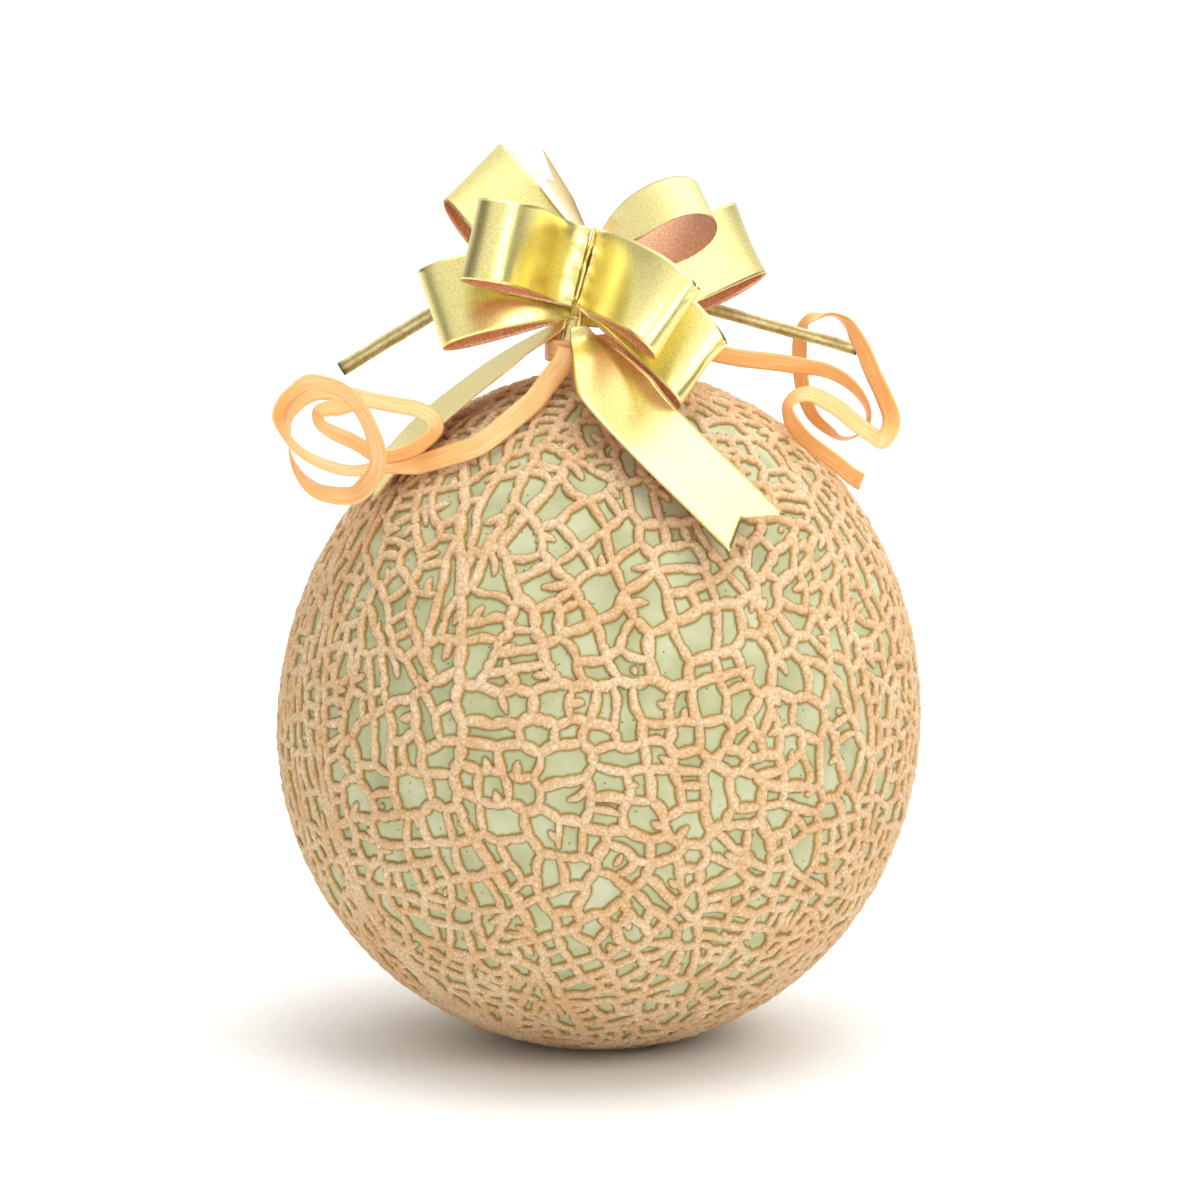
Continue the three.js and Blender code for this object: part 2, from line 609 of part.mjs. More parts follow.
const CURL_LEFT = [
  [-7.6, -19.2, 168.5, 80], [-8.5, -21.5, 165.5, 85], [-12, -25, 161, 85], [-19.5, -32, 152, 80],
  [-27, -36, 146, 70], [-34.5, -34, 143.5, 60], [-43, -30, 142, 45], [-50, -28, 141.5, 30],
  [-57.5, -28, 140.5, 22], [-64, -28, 142, 22], [-69.5, -28, 145, 16], [-72.5, -28.5, 148.5, 14],
  [-74, -30, 153.5, 35], [-72, -33, 158, 36], [-69, -35, 160.5, 38], [-66, -38, 162, 45],
  [-61.5, -41, 161.5, 45], [-58, -43, 160, 45], [-55, -44, 157, 45], [-52.5, -44.5, 152.5, 45],
  [-51, -44, 147.5, 55], [-51, -42, 143, 48], [-53, -40, 139, 48], [-56.5, -37, 136, 48],
  [-61, -34, 135.5, 40], [-66, -30, 136.5, 28], [-70, -26, 140, 10], [-72, -23.5, 144, 0],
  [-72.5, -22, 148, -13], [-72.5, -21, 152, -22], [-70.5, -21, 155.5, -37], [-67, -22, 158, -45],
  [-63.5, -23, 158.5, -42], [-59, -25, 158, -40], [-54, -27, 157, -38], [-47.5, -29, 156, -38],
  [-42, -30.5, 155, -38], [-38.5, -32, 153, -36], [-38, -33.5, 150.5, -38], [-41, -34.5, 147.5, -42],
  [-44.5, -35, 145.5, -43], [-48.5, -35, 144.5, -43], [-52, -35, 145, -44], [-55, -34.5, 147, -46],
  [-58, -34, 148.5, -48], [-61.5, -33.5, 150, -44], [-64.5, -33, 152, -36], [-65, -33, 154.5, -33],
  [-63, -33.5, 155.5, -38], [-60, -34.5, 156, -42], [-57, -35.5, 157, -42], [-54.5, -36, 158, -42],
];

const CURL_RIGHT = [
  [-0.6, -9, 168.5, 60], [4, -9, 168.8, 60], [9.5, -8, 168, 58], [23.5, -5, 166.5, 57],
  [33, -2, 164.5, 57], [43, 2, 163, 57], [48, 4, 162, 55], [53.5, 5, 161, 45], [58.5, 6, 158.5, 37],
  [62, 7.5, 155, 25], [64, 10, 151, 14], [64, 13, 147.5, 4], [62, 16, 144.5, -6],
  [59, 18.5, 143.5, -15], [55.5, 21, 145, -28], [52, 23, 148, -35], [50, 24.5, 152, -40],
  [49, 25, 156.5, -42], [48.5, 25, 161.5, -42], [48.5, 24.5, 166, -40], [49, 23.5, 169, -30],
  [50.5, 21.5, 171.5, -18], [53, 19, 172.5, -6], [56, 16, 173, 8], [59, 12.5, 171.5, 22],
  [61, 9, 169, 34], [63, 6, 165.5, 42], [65, 2, 160.5, 45], [67.5, -1, 155, 48], [69, -3.5, 150.5, 50],
  [68.5, -5.5, 147.5, 46], [66.5, -7, 145.5, 44], [64, -8, 147, 46], [60.5, -8, 149.5, 48],
  [57, -8, 152.5, 48], [53, -8, 155, 48], [49.5, -8, 156.5, 42], [46.5, -8, 156, 34],
  [44.5, -8.5, 154, 25], [44.5, -10, 151.5, 27], [46, -14, 149, 37], [48.5, -18, 146.5, 42],
  [52, -21, 144, 45], [55.5, -23, 141.5, 48], [58.5, -24, 139, 52], [61, -25, 137.5, 54],
];
const CURL_STEPS_PER_STATION = 2;
const CURL_CLEARANCE = 3.9;

function curl(route) {
  const path = new THREE.CatmullRomCurve3(route.map(([x, y, z]) => new THREE.Vector3(x, y, z)));
  const points = path.getPoints((route.length - 1) * CURL_STEPS_PER_STATION)
    .map((point) => clearOfMelon(point, CURL_CLEARANCE));
  const ways = headings(points);
  const depth = new THREE.Vector3(0, 1, 0);
  const stations = points.map((centre, i) => {
    const place = i / CURL_STEPS_PER_STATION;
    const k = Math.min(Math.floor(place), route.length - 2);
    const roll = THREE.MathUtils.degToRad(route[k][3] + (place - k) * (route[k + 1][3] - route[k][3]));
    const right = depth.clone().cross(ways[i]).normalize();
    const across = depth.clone().multiplyScalar(Math.cos(roll)).addScaledVector(right, Math.sin(roll));
    return { centre, across, heading: ways[i] };
  });
  return strip(stations, CURL_WIDTH, CURL_THICKNESS);
}

// The tie: a band of the same ribbon drawn round the stalk and the foot of the bow's pinch
const TIE_HEIGHT = 167.5;
const TIE_CENTRE = [-7.6, -0.9];
const TIE_REACH = [5.2, 17];        // half width and half length of the long loop
const TIE_SQUARENESS = 4;
const TIE_STEPS = 28;

function tie() {
  const points = Array.from({ length: TIE_STEPS }, (_, i) => {
    const angle = (i * 2 * Math.PI) / TIE_STEPS;
    const cos = Math.cos(angle);
    const sin = Math.sin(angle);
    const reach = (cos ** TIE_SQUARENESS + sin ** TIE_SQUARENESS) ** (-1 / TIE_SQUARENESS);
    return new THREE.Vector3(TIE_CENTRE[0] + TIE_REACH[0] * reach * cos,
      TIE_CENTRE[1] + TIE_REACH[1] * reach * sin, TIE_HEIGHT);
  });
  const ways = headings(points, true);
  const across = new THREE.Vector3(0, 0, 1);
  const stations = points.map((centre, i) => ({ centre, across, heading: ways[i] }));
  return strip(stations, CURL_WIDTH, CURL_THICKNESS, true);
}

// Finishes

const cork = new THREE.MeshStandardMaterial({ color: '#dcbd92', roughness: 0.85, metalness: 0 });
const dryVine = new THREE.MeshStandardMaterial({ color: '#b3a65c', roughness: 0.7, metalness: 0 });
const goldFoil = new THREE.MeshStandardMaterial({ color: '#e3d060', roughness: 0.3, metalness: 0.9 });
const orangeFilm = new THREE.MeshStandardMaterial({ color: '#f9a93c', roughness: 0.35, metalness: 0 });

const group = new THREE.Group();

function add(name, geometry, material) {
  const mesh = new THREE.Mesh(geometry, material);
  mesh.name = name;
  group.add(mesh);
}

add('melon', melon(), cork);
add('stem', stem(), dryVine);
add('bow_pinch', bowPinch(), goldFoil);
LOOPS.forEach((loop) => add(loop.name, bowLoop(loop), goldFoil));
TAILS.forEach((item) => add(item.name, tail(item), goldFoil));
add('tie_band', tie(), orangeFilm);
add('tie_curl_left', curl(CURL_LEFT), orangeFilm);
add('tie_curl_right', curl(CURL_RIGHT), orangeFilm);

export default group;
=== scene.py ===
"""Netted cantaloupe melon with its dry T-shaped stem, a gold foil bow and a curled orange ribbon.

It is laid out as an add-on and run as a script. Sizes are in millimetres where a name says so,
and Blender's own units are metres.
"""

import math
import random
from functools import partial

import bpy
import numpy as np
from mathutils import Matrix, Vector


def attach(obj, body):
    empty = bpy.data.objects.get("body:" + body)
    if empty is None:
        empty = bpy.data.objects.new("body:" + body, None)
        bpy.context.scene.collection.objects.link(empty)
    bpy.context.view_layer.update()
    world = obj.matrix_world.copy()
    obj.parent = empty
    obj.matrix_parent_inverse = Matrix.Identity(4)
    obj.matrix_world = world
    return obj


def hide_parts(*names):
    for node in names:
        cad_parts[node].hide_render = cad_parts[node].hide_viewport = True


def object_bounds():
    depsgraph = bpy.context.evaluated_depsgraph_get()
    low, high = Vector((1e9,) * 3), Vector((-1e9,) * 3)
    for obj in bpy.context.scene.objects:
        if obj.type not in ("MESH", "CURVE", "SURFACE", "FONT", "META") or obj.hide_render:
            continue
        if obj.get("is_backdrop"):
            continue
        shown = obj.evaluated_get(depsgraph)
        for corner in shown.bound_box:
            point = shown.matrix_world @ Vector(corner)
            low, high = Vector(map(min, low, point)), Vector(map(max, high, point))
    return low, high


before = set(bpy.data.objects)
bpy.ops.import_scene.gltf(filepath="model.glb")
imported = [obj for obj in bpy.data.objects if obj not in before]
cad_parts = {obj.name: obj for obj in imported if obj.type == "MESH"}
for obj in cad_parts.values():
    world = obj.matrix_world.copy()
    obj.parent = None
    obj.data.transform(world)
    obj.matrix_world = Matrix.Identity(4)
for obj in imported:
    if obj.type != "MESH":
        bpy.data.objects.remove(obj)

bl_info = {
    "name": "Netted Melon with Foil Bow",
    "version": (1, 0, 0),
    "blender": (4, 5, 0),
    "location": "3D View > Sidebar > Melon",
    "description": "Builds a netted cantaloupe with its stem, a foil bow and a curled ribbon",
    "category": "Object",
}

cad_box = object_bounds()
MM = 0.001
BODY = "root"


# Sizes and colours that a user would change

class MelonSettings(bpy.types.PropertyGroup):
    radius: bpy.props.FloatProperty(
        name="Radius", description="Mean radius of the smooth rind", default=77.5 * MM,
        unit="LENGTH")
    centre_height: bpy.props.FloatProperty(
        name="Centre height", description="Centre of the body above the resting spot",
        default=79.1 * MM, unit="LENGTH")
    lean: bpy.props.FloatProperty(
        name="Lean", description="How far the axis leans to the right",
        default=math.radians(9.5), subtype="ANGLE")
    stretch: bpy.props.FloatProperty(
        name="Stretch", description="How much longer the body is along its axis", default=0.043)
    taper: bpy.props.FloatProperty(
        name="Taper", description="How much fuller the stem end is", default=0.0146)
    net_height: bpy.props.FloatProperty(
        name="Net height", description="Height of the cork cords above the rind",
        default=1.25 * MM, unit="LENGTH")
    net_reach: bpy.props.FloatProperty(
        name="Cord half width", description="Half the width of an average cork cord",
        default=1.3 * MM, unit="LENGTH")
    mesh_area: bpy.props.FloatProperty(
        name="Mesh area", description="Area in square millimetres of an average mesh of the net",
        default=70.0)
    net_seed: bpy.props.IntProperty(
        name="Net seed", description="Start of the random draws of the net", default=7)
    grid: bpy.props.IntProperty(
        name="Grid", description="Faces along each edge of the six sides that form the rind",
        default=270)
    cork: bpy.props.StringProperty(
        name="Cork", description="Colour of the cork cords", default="#e4cba9")
    rind: bpy.props.StringProperty(
        name="Rind", description="Colour of the rind between the cords", default="#bbbc91")


class BowSettings(bpy.types.PropertyGroup):
    width: bpy.props.FloatProperty(
        name="Width", description="Width of the foil ribbon", default=19.5 * MM, unit="LENGTH")
    thickness: bpy.props.FloatProperty(
        name="Thickness", description="Thickness of the foil ribbon as it is drawn",
        default=0.26 * MM, unit="LENGTH")
    gold: bpy.props.StringProperty(
        name="Gold", description="Colour of the ribbon's metal side", default="#f8eca6")
    copper: bpy.props.StringProperty(
        name="Copper", description="Colour of the ribbon's back", default="#e9b083")


class CurlSettings(bpy.types.PropertyGroup):
    width: bpy.props.FloatProperty(
        name="Width", description="Width of the curling ribbon", default=5 * MM, unit="LENGTH")
    thickness: bpy.props.FloatProperty(
        name="Thickness", description="Thickness of the curling ribbon as it is drawn",
        default=0.22 * MM, unit="LENGTH")
    orange: bpy.props.StringProperty(
        name="Orange", description="Colour of the curling ribbon", default="#fdc583")


class StemSettings(bpy.types.PropertyGroup):
    vine_diameter: bpy.props.FloatProperty(
        name="Vine diameter", description="Thickness of the crossing length of vine",
        default=3.1 * MM, unit="LENGTH")
    straw: bpy.props.StringProperty(
        name="Straw", description="Colour of the dry vine", default="#ddd092")


class StageSettings(bpy.types.PropertyGroup):
    camera_distance: bpy.props.FloatProperty(
        name="Camera distance", description="From the middle of the object", default=1.1,
        unit="LENGTH")
    camera_elevation: bpy.props.FloatProperty(
        name="Camera elevation", description="How far above the horizon the camera stands",
        default=math.radians(8), subtype="ANGLE")
    aim_height: bpy.props.FloatProperty(
        name="Aim height", description="Height that the camera looks at",
        default=106.3 * MM, unit="LENGTH")
    view_width: bpy.props.FloatProperty(
        name="View width", description="Width of the picture at the object",
        default=287 * MM, unit="LENGTH")


# Vectors, routes and seeded ripples

def vec(*numbers):
    return np.array(numbers, dtype=float)


def unit(vector):
    return vector / np.linalg.norm(vector, axis=-1, keepdims=True)


def headings(points):
    """The direction of a route at each of its points."""
    before = np.concatenate([points[:1], points[:-1]])
    after = np.concatenate([points[1:], points[-1:]])
    return unit(after - before)


def smooth_route(points, steps):
    """A centripetal curve through points, with so many steps between each two of them."""
    points = [np.asarray(point, dtype=float) for point in points]
    padded = [2 * points[0] - points[1], *points, 2 * points[-1] - points[-2]]
    route = []
    for a, b, c, d in zip(padded, padded[1:], padded[2:], padded[3:]):
        before, span, after = (
            math.sqrt(np.linalg.norm(q - p)) for p, q in ((a, b), (b, c), (c, d)))
        leave = ((b - a) / before - (c - a) / (before + span) + (c - b) / span) * span
        arrive = ((c - b) / span - (d - b) / (span + after) + (d - c) / after) * span
        for step in range(steps):
            t = step / steps
            route.append(b * (2 * t**3 - 3 * t**2 + 1) + c * (3 * t**2 - 2 * t**3)
                         + leave * (t**3 - 2 * t**2 + t) + arrive * (t**3 - t**2))
    route.append(points[-1])
    return np.array(route)


def evenly(route, count):
    """The same route, cut into count equal lengths."""
    lengths = np.concatenate([[0], np.cumsum(np.linalg.norm(np.diff(route, axis=0), axis=1))])
    places = np.linspace(0, lengths[-1], count + 1)
    return np.stack([np.interp(places, lengths, route[:, axis]) for axis in range(3)], axis=1)


def ripples(points, size, seed, waves=7):
    """Smooth random numbers from about -1 to 1 over points, with crests about size apart."""
    draw = np.random.default_rng(seed)
    total = np.zeros(len(points))
    for _ in range(waves):
        way = unit(draw.normal(size=3)) * (2 * math.pi / size) * draw.uniform(0.6, 1.5)
        total += np.sin(points @ way + draw.uniform(0, 2 * math.pi))
    return total / math.sqrt(waves)


# The melon's body

def melon_axis(settings):
    return vec(math.sin(settings.lean), 0, math.cos(settings.lean))


def rind_radius(settings, directions):
    c = directions @ melon_axis(settings)
    stretch = settings.stretch * (1.5 * c**2 - 0.5)
    taper = settings.taper * (2.5 * c**3 - 1.5 * c)
    return settings.radius * (1 + stretch + taper)


def on_melon(settings, directions, height):
    """Points at a height above the rind, in metres."""
    centre = vec(0, 0, settings.centre_height)
    return centre + directions * (rind_radius(settings, directions) + height)[:, None]


def clear_of_melon(settings, points, clearance):
    """Moves points straight out from the melon until they are clear of its net."""
    offsets = points - vec(0, 0, settings.centre_height)
    distances = np.linalg.norm(offsets, axis=1)
    directions = offsets / distances[:, None]
    height = np.maximum(clearance, distances - rind_radius(settings, directions))
    return on_melon(settings, directions, height)


# Materials. One function turns a hex colour to linear light, and one adds a node.

NOISE = "ShaderNodeTexNoise"
RAMP = "ShaderNodeValToRGB"
MATHS = "ShaderNodeMath"
VECTORS = "ShaderNodeVectorMath"
MULTIPLIED = {"data_type": "RGBA", "blend_type": "MULTIPLY"}
MIXED_COLOUR = 2


def linear(colour):
    """An sRGB hex colour as linear red, green, blue and alpha."""
    channels = [int(colour[i:i + 2], 16) / 255 for i in (1, 3, 5)]
    return (*(c / 12.92 if c <= 0.04045 else ((c + 0.055) / 1.055) ** 2.4 for c in channels), 1.0)


def node(tree, kind, inputs=(), out=0, stops=(), **settings):
    """Adds a node and returns its output called out, or all its outputs where out is None.

    inputs gives its sockets values or links, by name or in order, and stops fills a colour ramp.
    """
    item = tree.nodes.new(kind)
    for name, value in settings.items():
        setattr(item, name, value)
    for key, value in inputs.items() if isinstance(inputs, dict) else enumerate(inputs):
        if isinstance(value, bpy.types.NodeSocket):
            tree.links.new(value, item.inputs[key])
        else:
            item.inputs[key].default_value = value
    if stops:
        elements = item.color_ramp.elements
        while len(elements) < len(stops):
            elements.new(0.5)
        for element, (place, colour) in zip(elements, stops):
            element.position = place
            element.color = linear(colour) if isinstance(colour, str) else (colour,) * 3 + (1,)
    return item.outputs if out is None else item.outputs[out]


def new_material(name):
    """A material without nodes, and the function that adds one to it."""
    material = bpy.data.materials.new(name)
    material.use_nodes = True
    material.node_tree.nodes.clear()
    return material, partial(node, material.node_tree)


def finish_material(add, links, constants):
    """Adds the shader, with its links and its constants on its own sockets."""
    shader = add("ShaderNodeBsdfPrincipled", {**links, **constants})
    add("ShaderNodeOutputMaterial", {"Surface": shader}, None)


def per_mm(size_mm):
    """The scale of a pattern in Object coordinates whose features are size_mm apart."""
    return 1 / (size_mm * MM)


def cork_net_material(melon):
    """Melon skin as it grew: dull corky cords over a smooth, slightly waxy rind, with shade painted
    where the cords meet the rind.
    """
    material, add = new_material("cork_net_over_waxy_rind")
    place = add("ShaderNodeTexCoord", out="Object")
    foot = add("ShaderNodeAttribute", out="Fac", attribute_name="foot")
    crest = add("ShaderNodeAttribute", out="Fac", attribute_name="crest")
    # Cork: grains half a millimetre across, drawn a little coarser than real ones so they show
    grain = add(NOISE, {"Vector": place, "Scale": per_mm(0.75), "Detail": 3.0, "Roughness": 0.65})
    patches = add(NOISE, {"Vector": place, "Scale": per_mm(9), "Detail": 2.0})
    cork_grain = add(RAMP, [grain], stops=[
        (0.28, "#bf9f7a"), (0.42, "#d6ba94"), (0.56, melon.cork), (0.74, "#f7e8d4")])
    cork_patches = add(RAMP, [patches], stops=[(0.35, "#f7e8d8"), (0.65, "#ffffff")])
    cork_tinted = add("ShaderNodeMix", {0: 1.0, 6: cork_grain, 7: cork_patches}, MIXED_COLOUR,
                      **MULTIPLIED)
    # Painted shade: the cords are drawn brown where they meet the rind, fading out so that they are
    # palest along their crests
    painted_cord_foot_shade = add(RAMP, [crest], stops=[
        (0.0, "#bfa477"), (0.14, "#e2cfa8"), (0.32, "#faf4e8"), (1.0, "#ffffff")])
    cork_colour = add("ShaderNodeMix", {0: 1.0, 6: cork_tinted, 7: painted_cord_foot_shade}, MIXED_COLOUR,
                      **MULTIPLIED)
    # Rind: pale green, cloudy over about a centimetre, with fine dark pores
    clouds = add(NOISE, {"Vector": place, "Scale": per_mm(11), "Detail": 3.0})
    rind_clouds = add(RAMP, [clouds], stops=[
        (0.3, "#a9ab80"), (0.5, melon.rind), (0.72, "#cbccaa")])
    pores = add("ShaderNodeTexVoronoi", {"Vector": place, "Scale": per_mm(2.6)})
    pore_tone = add(RAMP, [pores], stops=[(0.05, "#76835a"), (0.12, "#ffffff")])
    rind_pored = add("ShaderNodeMix", {0: 1.0, 6: rind_clouds, 7: pore_tone}, MIXED_COLOUR,
                     **MULTIPLIED)
    # Painted shade: towards the cords the rind is drawn olive and brown within 0.6 mm
    rind_shade_band = add("ShaderNodeMapRange", [foot, 0.0, 0.6 * MM])
    painted_rind_shade = add(RAMP, [rind_shade_band], stops=[(0.0, "#b5a679"), (0.3, "#d9d2ae"), (1.0, "#ffffff")])
    rind_colour = add("ShaderNodeMix", {0: 1.0, 6: rind_pored, 7: painted_rind_shade}, MIXED_COLOUR,
                      **MULTIPLIED)
    is_cork = add("ShaderNodeMapRange", [foot, 0.12 * MM, -0.12 * MM],
                  interpolation_type="SMOOTHSTEP")
    colour = add("ShaderNodeMix", {0: is_cork, 6: rind_colour, 7: cork_colour}, MIXED_COLOUR,
                 data_type="RGBA")
    roughness = add("ShaderNodeMapRange", {0: is_cork, 3: 0.45, 4: 0.86})
    fine = add(NOISE, {"Vector": place, "Scale": per_mm(0.42), "Detail": 2.0})
    relief = add(MATHS, [grain, fine], operation="ADD")
    cork_relief = add(MATHS, [relief, is_cork], operation="MULTIPLY")
    bump = add("ShaderNodeBump", {"Height": cork_relief, "Strength": 0.75, "Distance": 0.16 * MM})
    finish_material(add, {"Base Color": colour, "Roughness": roughness, "Normal": bump},
                    {"Specular IOR Level": 0.35})
    return material


def gold_foil_material(bow):
    """Metallised film, embossed with a fine grain that softens its reflections."""
    material, add = new_material("gold_metallised_film")
    place = add("ShaderNodeTexCoord", out="Object")
    emboss = add(NOISE, {"Vector": place, "Scale": per_mm(0.55), "Detail": 2.0, "Roughness": 0.6})
    crinkle = add(NOISE, {"Vector": place, "Scale": per_mm(6), "Detail": 1.0})
    tone = add(RAMP, [emboss], stops=[(0.3, "#e6d67c"), (0.6, bow.gold)])
    height = add(MATHS, [crinkle, 4.0, emboss], operation="MULTIPLY_ADD")
    bump = add("ShaderNodeBump", {"Height": height, "Strength": 0.5, "Distance": 0.03 * MM})
    finish_material(add, {"Base Color": tone, "Normal": bump},
                    {"Metallic": 1.0, "Roughness": 0.34})
    return material


def copper_back_material(bow):
    """The lacquered back of the same film, duller and finely speckled."""
    material, add = new_material("copper_lacquered_film_back")
    place = add("ShaderNodeTexCoord", out="Object")
    speckle = add(NOISE, {"Vector": place, "Scale": per_mm(0.6), "Detail": 2.0, "Roughness": 0.6})
    tone = add(RAMP, [speckle], stops=[(0.3, "#d8935f"), (0.52, bow.copper), (0.72, "#f6d0b0")])
    bump = add("ShaderNodeBump", {"Height": speckle, "Strength": 0.5, "Distance": 0.03 * MM})
    finish_material(add, {"Base Color": tone, "Normal": bump},
                    {"Metallic": 0.55, "Roughness": 0.42})
    return material


def curling_ribbon_material(curl):
    """Drawn polypropylene film: satin, a little see-through, with fine lines along it."""
    material, add = new_material("orange_satin_polypropylene")
    strip = add("ShaderNodeUVMap", uv_map="strip")
    # UVs are metres along and across the ribbon, so the lines are drawn 0.35 mm apart
    stretched = add("ShaderNodeMapping", {
        "Vector": strip, "Scale": (per_mm(14), per_mm(0.35), 1.0)})
    lines = add(NOISE, {"Vector": stretched, "Scale": 1.0, "Detail": 2.0},
                noise_dimensions="2D")
    tone = add(RAMP, [lines], stops=[(0.3, "#fab366"), (0.55, curl.orange), (0.8, "#fed5a6")])
    bump = add("ShaderNodeBump", {"Height": lines, "Strength": 0.4, "Distance": 0.03 * MM})
    finish_material(add, {"Base Color": tone, "Normal": bump}, {
        "Roughness": 0.36, "Subsurface Weight": 0.6, "Subsurface Radius": (1.0, 0.55, 0.2),
        "Subsurface Scale": 0.6 * MM})
    return material


def dry_vine_material(stem):
    """Dried vine: straw-coloured fibres, with olive painted shade in the furrows and a painted
    highlight along the ribs, and brown where it was cut.
    """
    material, add = new_material("dried_melon_vine")
    place = add("ShaderNodeTexCoord", out="Object")
    along = add("ShaderNodeAttribute", out="Fac", attribute_name="along")
    ridge = add("ShaderNodeAttribute", out="Fac", attribute_name="ridge")
    fibre = add(NOISE, {"Vector": place, "Scale": per_mm(1.1), "Detail": 3.0, "Roughness": 0.6})
    blotch = add(NOISE, {"Vector": place, "Scale": per_mm(7), "Detail": 2.0})
    # Painted shade and highlight: darker olive in the furrows between the ribs, palest along the
    # rib tops
    colour = add(RAMP, [ridge], stops=[(0.0, "#b5aa6c"), (0.5, stem.straw), (1.0, "#f8f1cf")])
    fibre_tone = add(RAMP, [fibre], stops=[(0.3, "#cfc098"), (0.6, "#ffffff")])
    blotch_tone = add(RAMP, [blotch], stops=[(0.3, "#dacda8"), (0.6, "#ffffff")])
    ends = add(RAMP, [along], stops=[
        (0.0, "#4a3a1c"), (0.012, "#ffffff"), (0.988, "#ffffff"), (1.0, "#4a3a1c")])
    for share, tone in ((0.8, fibre_tone), (0.8, blotch_tone), (1.0, ends)):
        colour = add("ShaderNodeMix", {0: share, 6: colour, 7: tone}, MIXED_COLOUR, **MULTIPLIED)
    bump = add("ShaderNodeBump", {"Height": fibre, "Strength": 0.6, "Distance": 0.12 * MM})
    finish_material(add, {"Base Color": colour, "Normal": bump}, {"Roughness": 0.62})
    return material


def paper_floor_material():
    """Matt white paper sweep."""
    material, add = new_material("matt_white_paper")
    place = add("ShaderNodeTexCoord", out="Object")
    fibres = add(NOISE, {"Vector": place, "Scale": per_mm(3)})
    tone = add(RAMP, [fibres], stops=[(0.3, "#f7f7f6"), (0.7, "#fbfbfa")])
    finish_material(add, {"Base Color": tone}, {"Roughness": 0.9})
    return material


# Pieces as meshes

def add_object(name, data):
    item = bpy.data.objects.new(name, data)
    bpy.context.scene.collection.objects.link(item)
    return item


def new_piece(name, vertices, faces, materials, replaced, face_materials=None):
    """A finished piece that rides on the object's one body."""
    mesh = bpy.data.meshes.new(name)
    mesh.from_pydata([tuple(v) for v in vertices], [], faces)
    for material in materials:
        mesh.materials.append(material)
    if face_materials is not None:
        mesh.polygons.foreach_set("material_index", np.asarray(face_materials, dtype=np.int32))
    mesh.polygons.foreach_set("use_smooth", np.ones(len(mesh.polygons), dtype=bool))
    return declare(add_object(name, mesh), replaced)


def declare(piece, replaced):
    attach(piece, BODY)
    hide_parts(replaced)
    return piece


def ribbon(name, centres, across, width, thickness, materials, replaced,
           share=None, crumple=None, notch=0.0, columns=10):
    """A closed strip of film: its outer face, its back and its four edges.

    across is the width direction at each centre, share the part of the full width there,
    crumple a movement in metres for each point, and notch the depth of a swallow tail.
    """
    ways = headings(centres)
    sides = unit(across - ways * np.sum(across * ways, axis=1, keepdims=True))
    normals = np.cross(ways, sides)
    rows = len(centres)
    share = np.ones(rows) if share is None else share
    places = np.linspace(-1, 1, columns + 1)
    reach = sides * (share * width / 2)[:, None]
    grid = centres[:, None] + reach[:, None] * places[None, :, None]
    if crumple is not None:
        grid = grid + crumple(grid.reshape(-1, 3)).reshape(rows, -1, 3)
    faces_out = [grid + normals[:, None] * thickness / 2, grid - normals[:, None] * thickness / 2]
    lengths = np.concatenate([[0], np.cumsum(np.linalg.norm(np.diff(centres, axis=0), axis=1))])
    if notch:
        for k, place in enumerate(places):
            wanted = lengths * (1 - notch * (1 - abs(place)) / lengths[-1])
            for skin in faces_out:
                skin[:, k] = np.stack([np.interp(wanted, lengths, skin[:, k, axis])
                                       for axis in range(3)], axis=1)
    vertices = np.concatenate([skin.reshape(-1, 3) for skin in faces_out])
    wide = columns + 1
    back = rows * wide
    last_finish = len(materials) - 1
    faces, finishes, uvs = [], [], []

    def add(corners, finish):
        faces.append(corners)
        finishes.append(min(finish, last_finish))
        for corner in corners:
            row, column = divmod(corner % back, wide)
            uvs.extend((lengths[row], (places[column] + 1) * width / 2))

    def add_edge(a, b, is_turned):
        corners = (a, back + a, back + b, b)
        add(corners[::-1] if is_turned else corners, 1)

    for i in range(rows - 1):
        for k in range(columns):
            a = i * wide + k
            add((a, a + wide, a + wide + 1, a + 1), 0)
            add((back + a, back + a + 1, back + a + wide + 1, back + a + wide), 1)
        add_edge(i * wide, (i + 1) * wide, False)
        add_edge(i * wide + columns, (i + 1) * wide + columns, True)
    for k in range(columns):
        add_edge(k, k + 1, True)
        add_edge((rows - 1) * wide + k, (rows - 1) * wide + k + 1, False)
    piece = new_piece(name, vertices, faces, materials, replaced, finishes)
    layer = piece.data.uv_layers.new(name="strip")
    layer.data.foreach_set("uv", np.array(uvs))
    return piece


# The cork net: a random pattern of cracks, as the cork grows in the cracks of the rind

STEM_RING_MM = 7.5
BLOSSOM_RING_MM = 8
GORES = 9
GORE_ROWS = 8
CORD_TRIES = 70
CORNER_CHANCE = 0.42
SMALLEST_SHARE = 0.27
LONG_CORD_CELLS_MM2 = (300, 900)
LONG_CORD_CHANCE = 0.3
LONG_CORD_SHARE = 0.4
NET_POINT_STEP_MM = 0.36
THIN_END = 0.22
BROKEN_CHANCE = 0.07
SPUR_CELL_MM2 = 34
SPUR_CHANCE = 0.34
CRUMB_CHANCE = 0.03


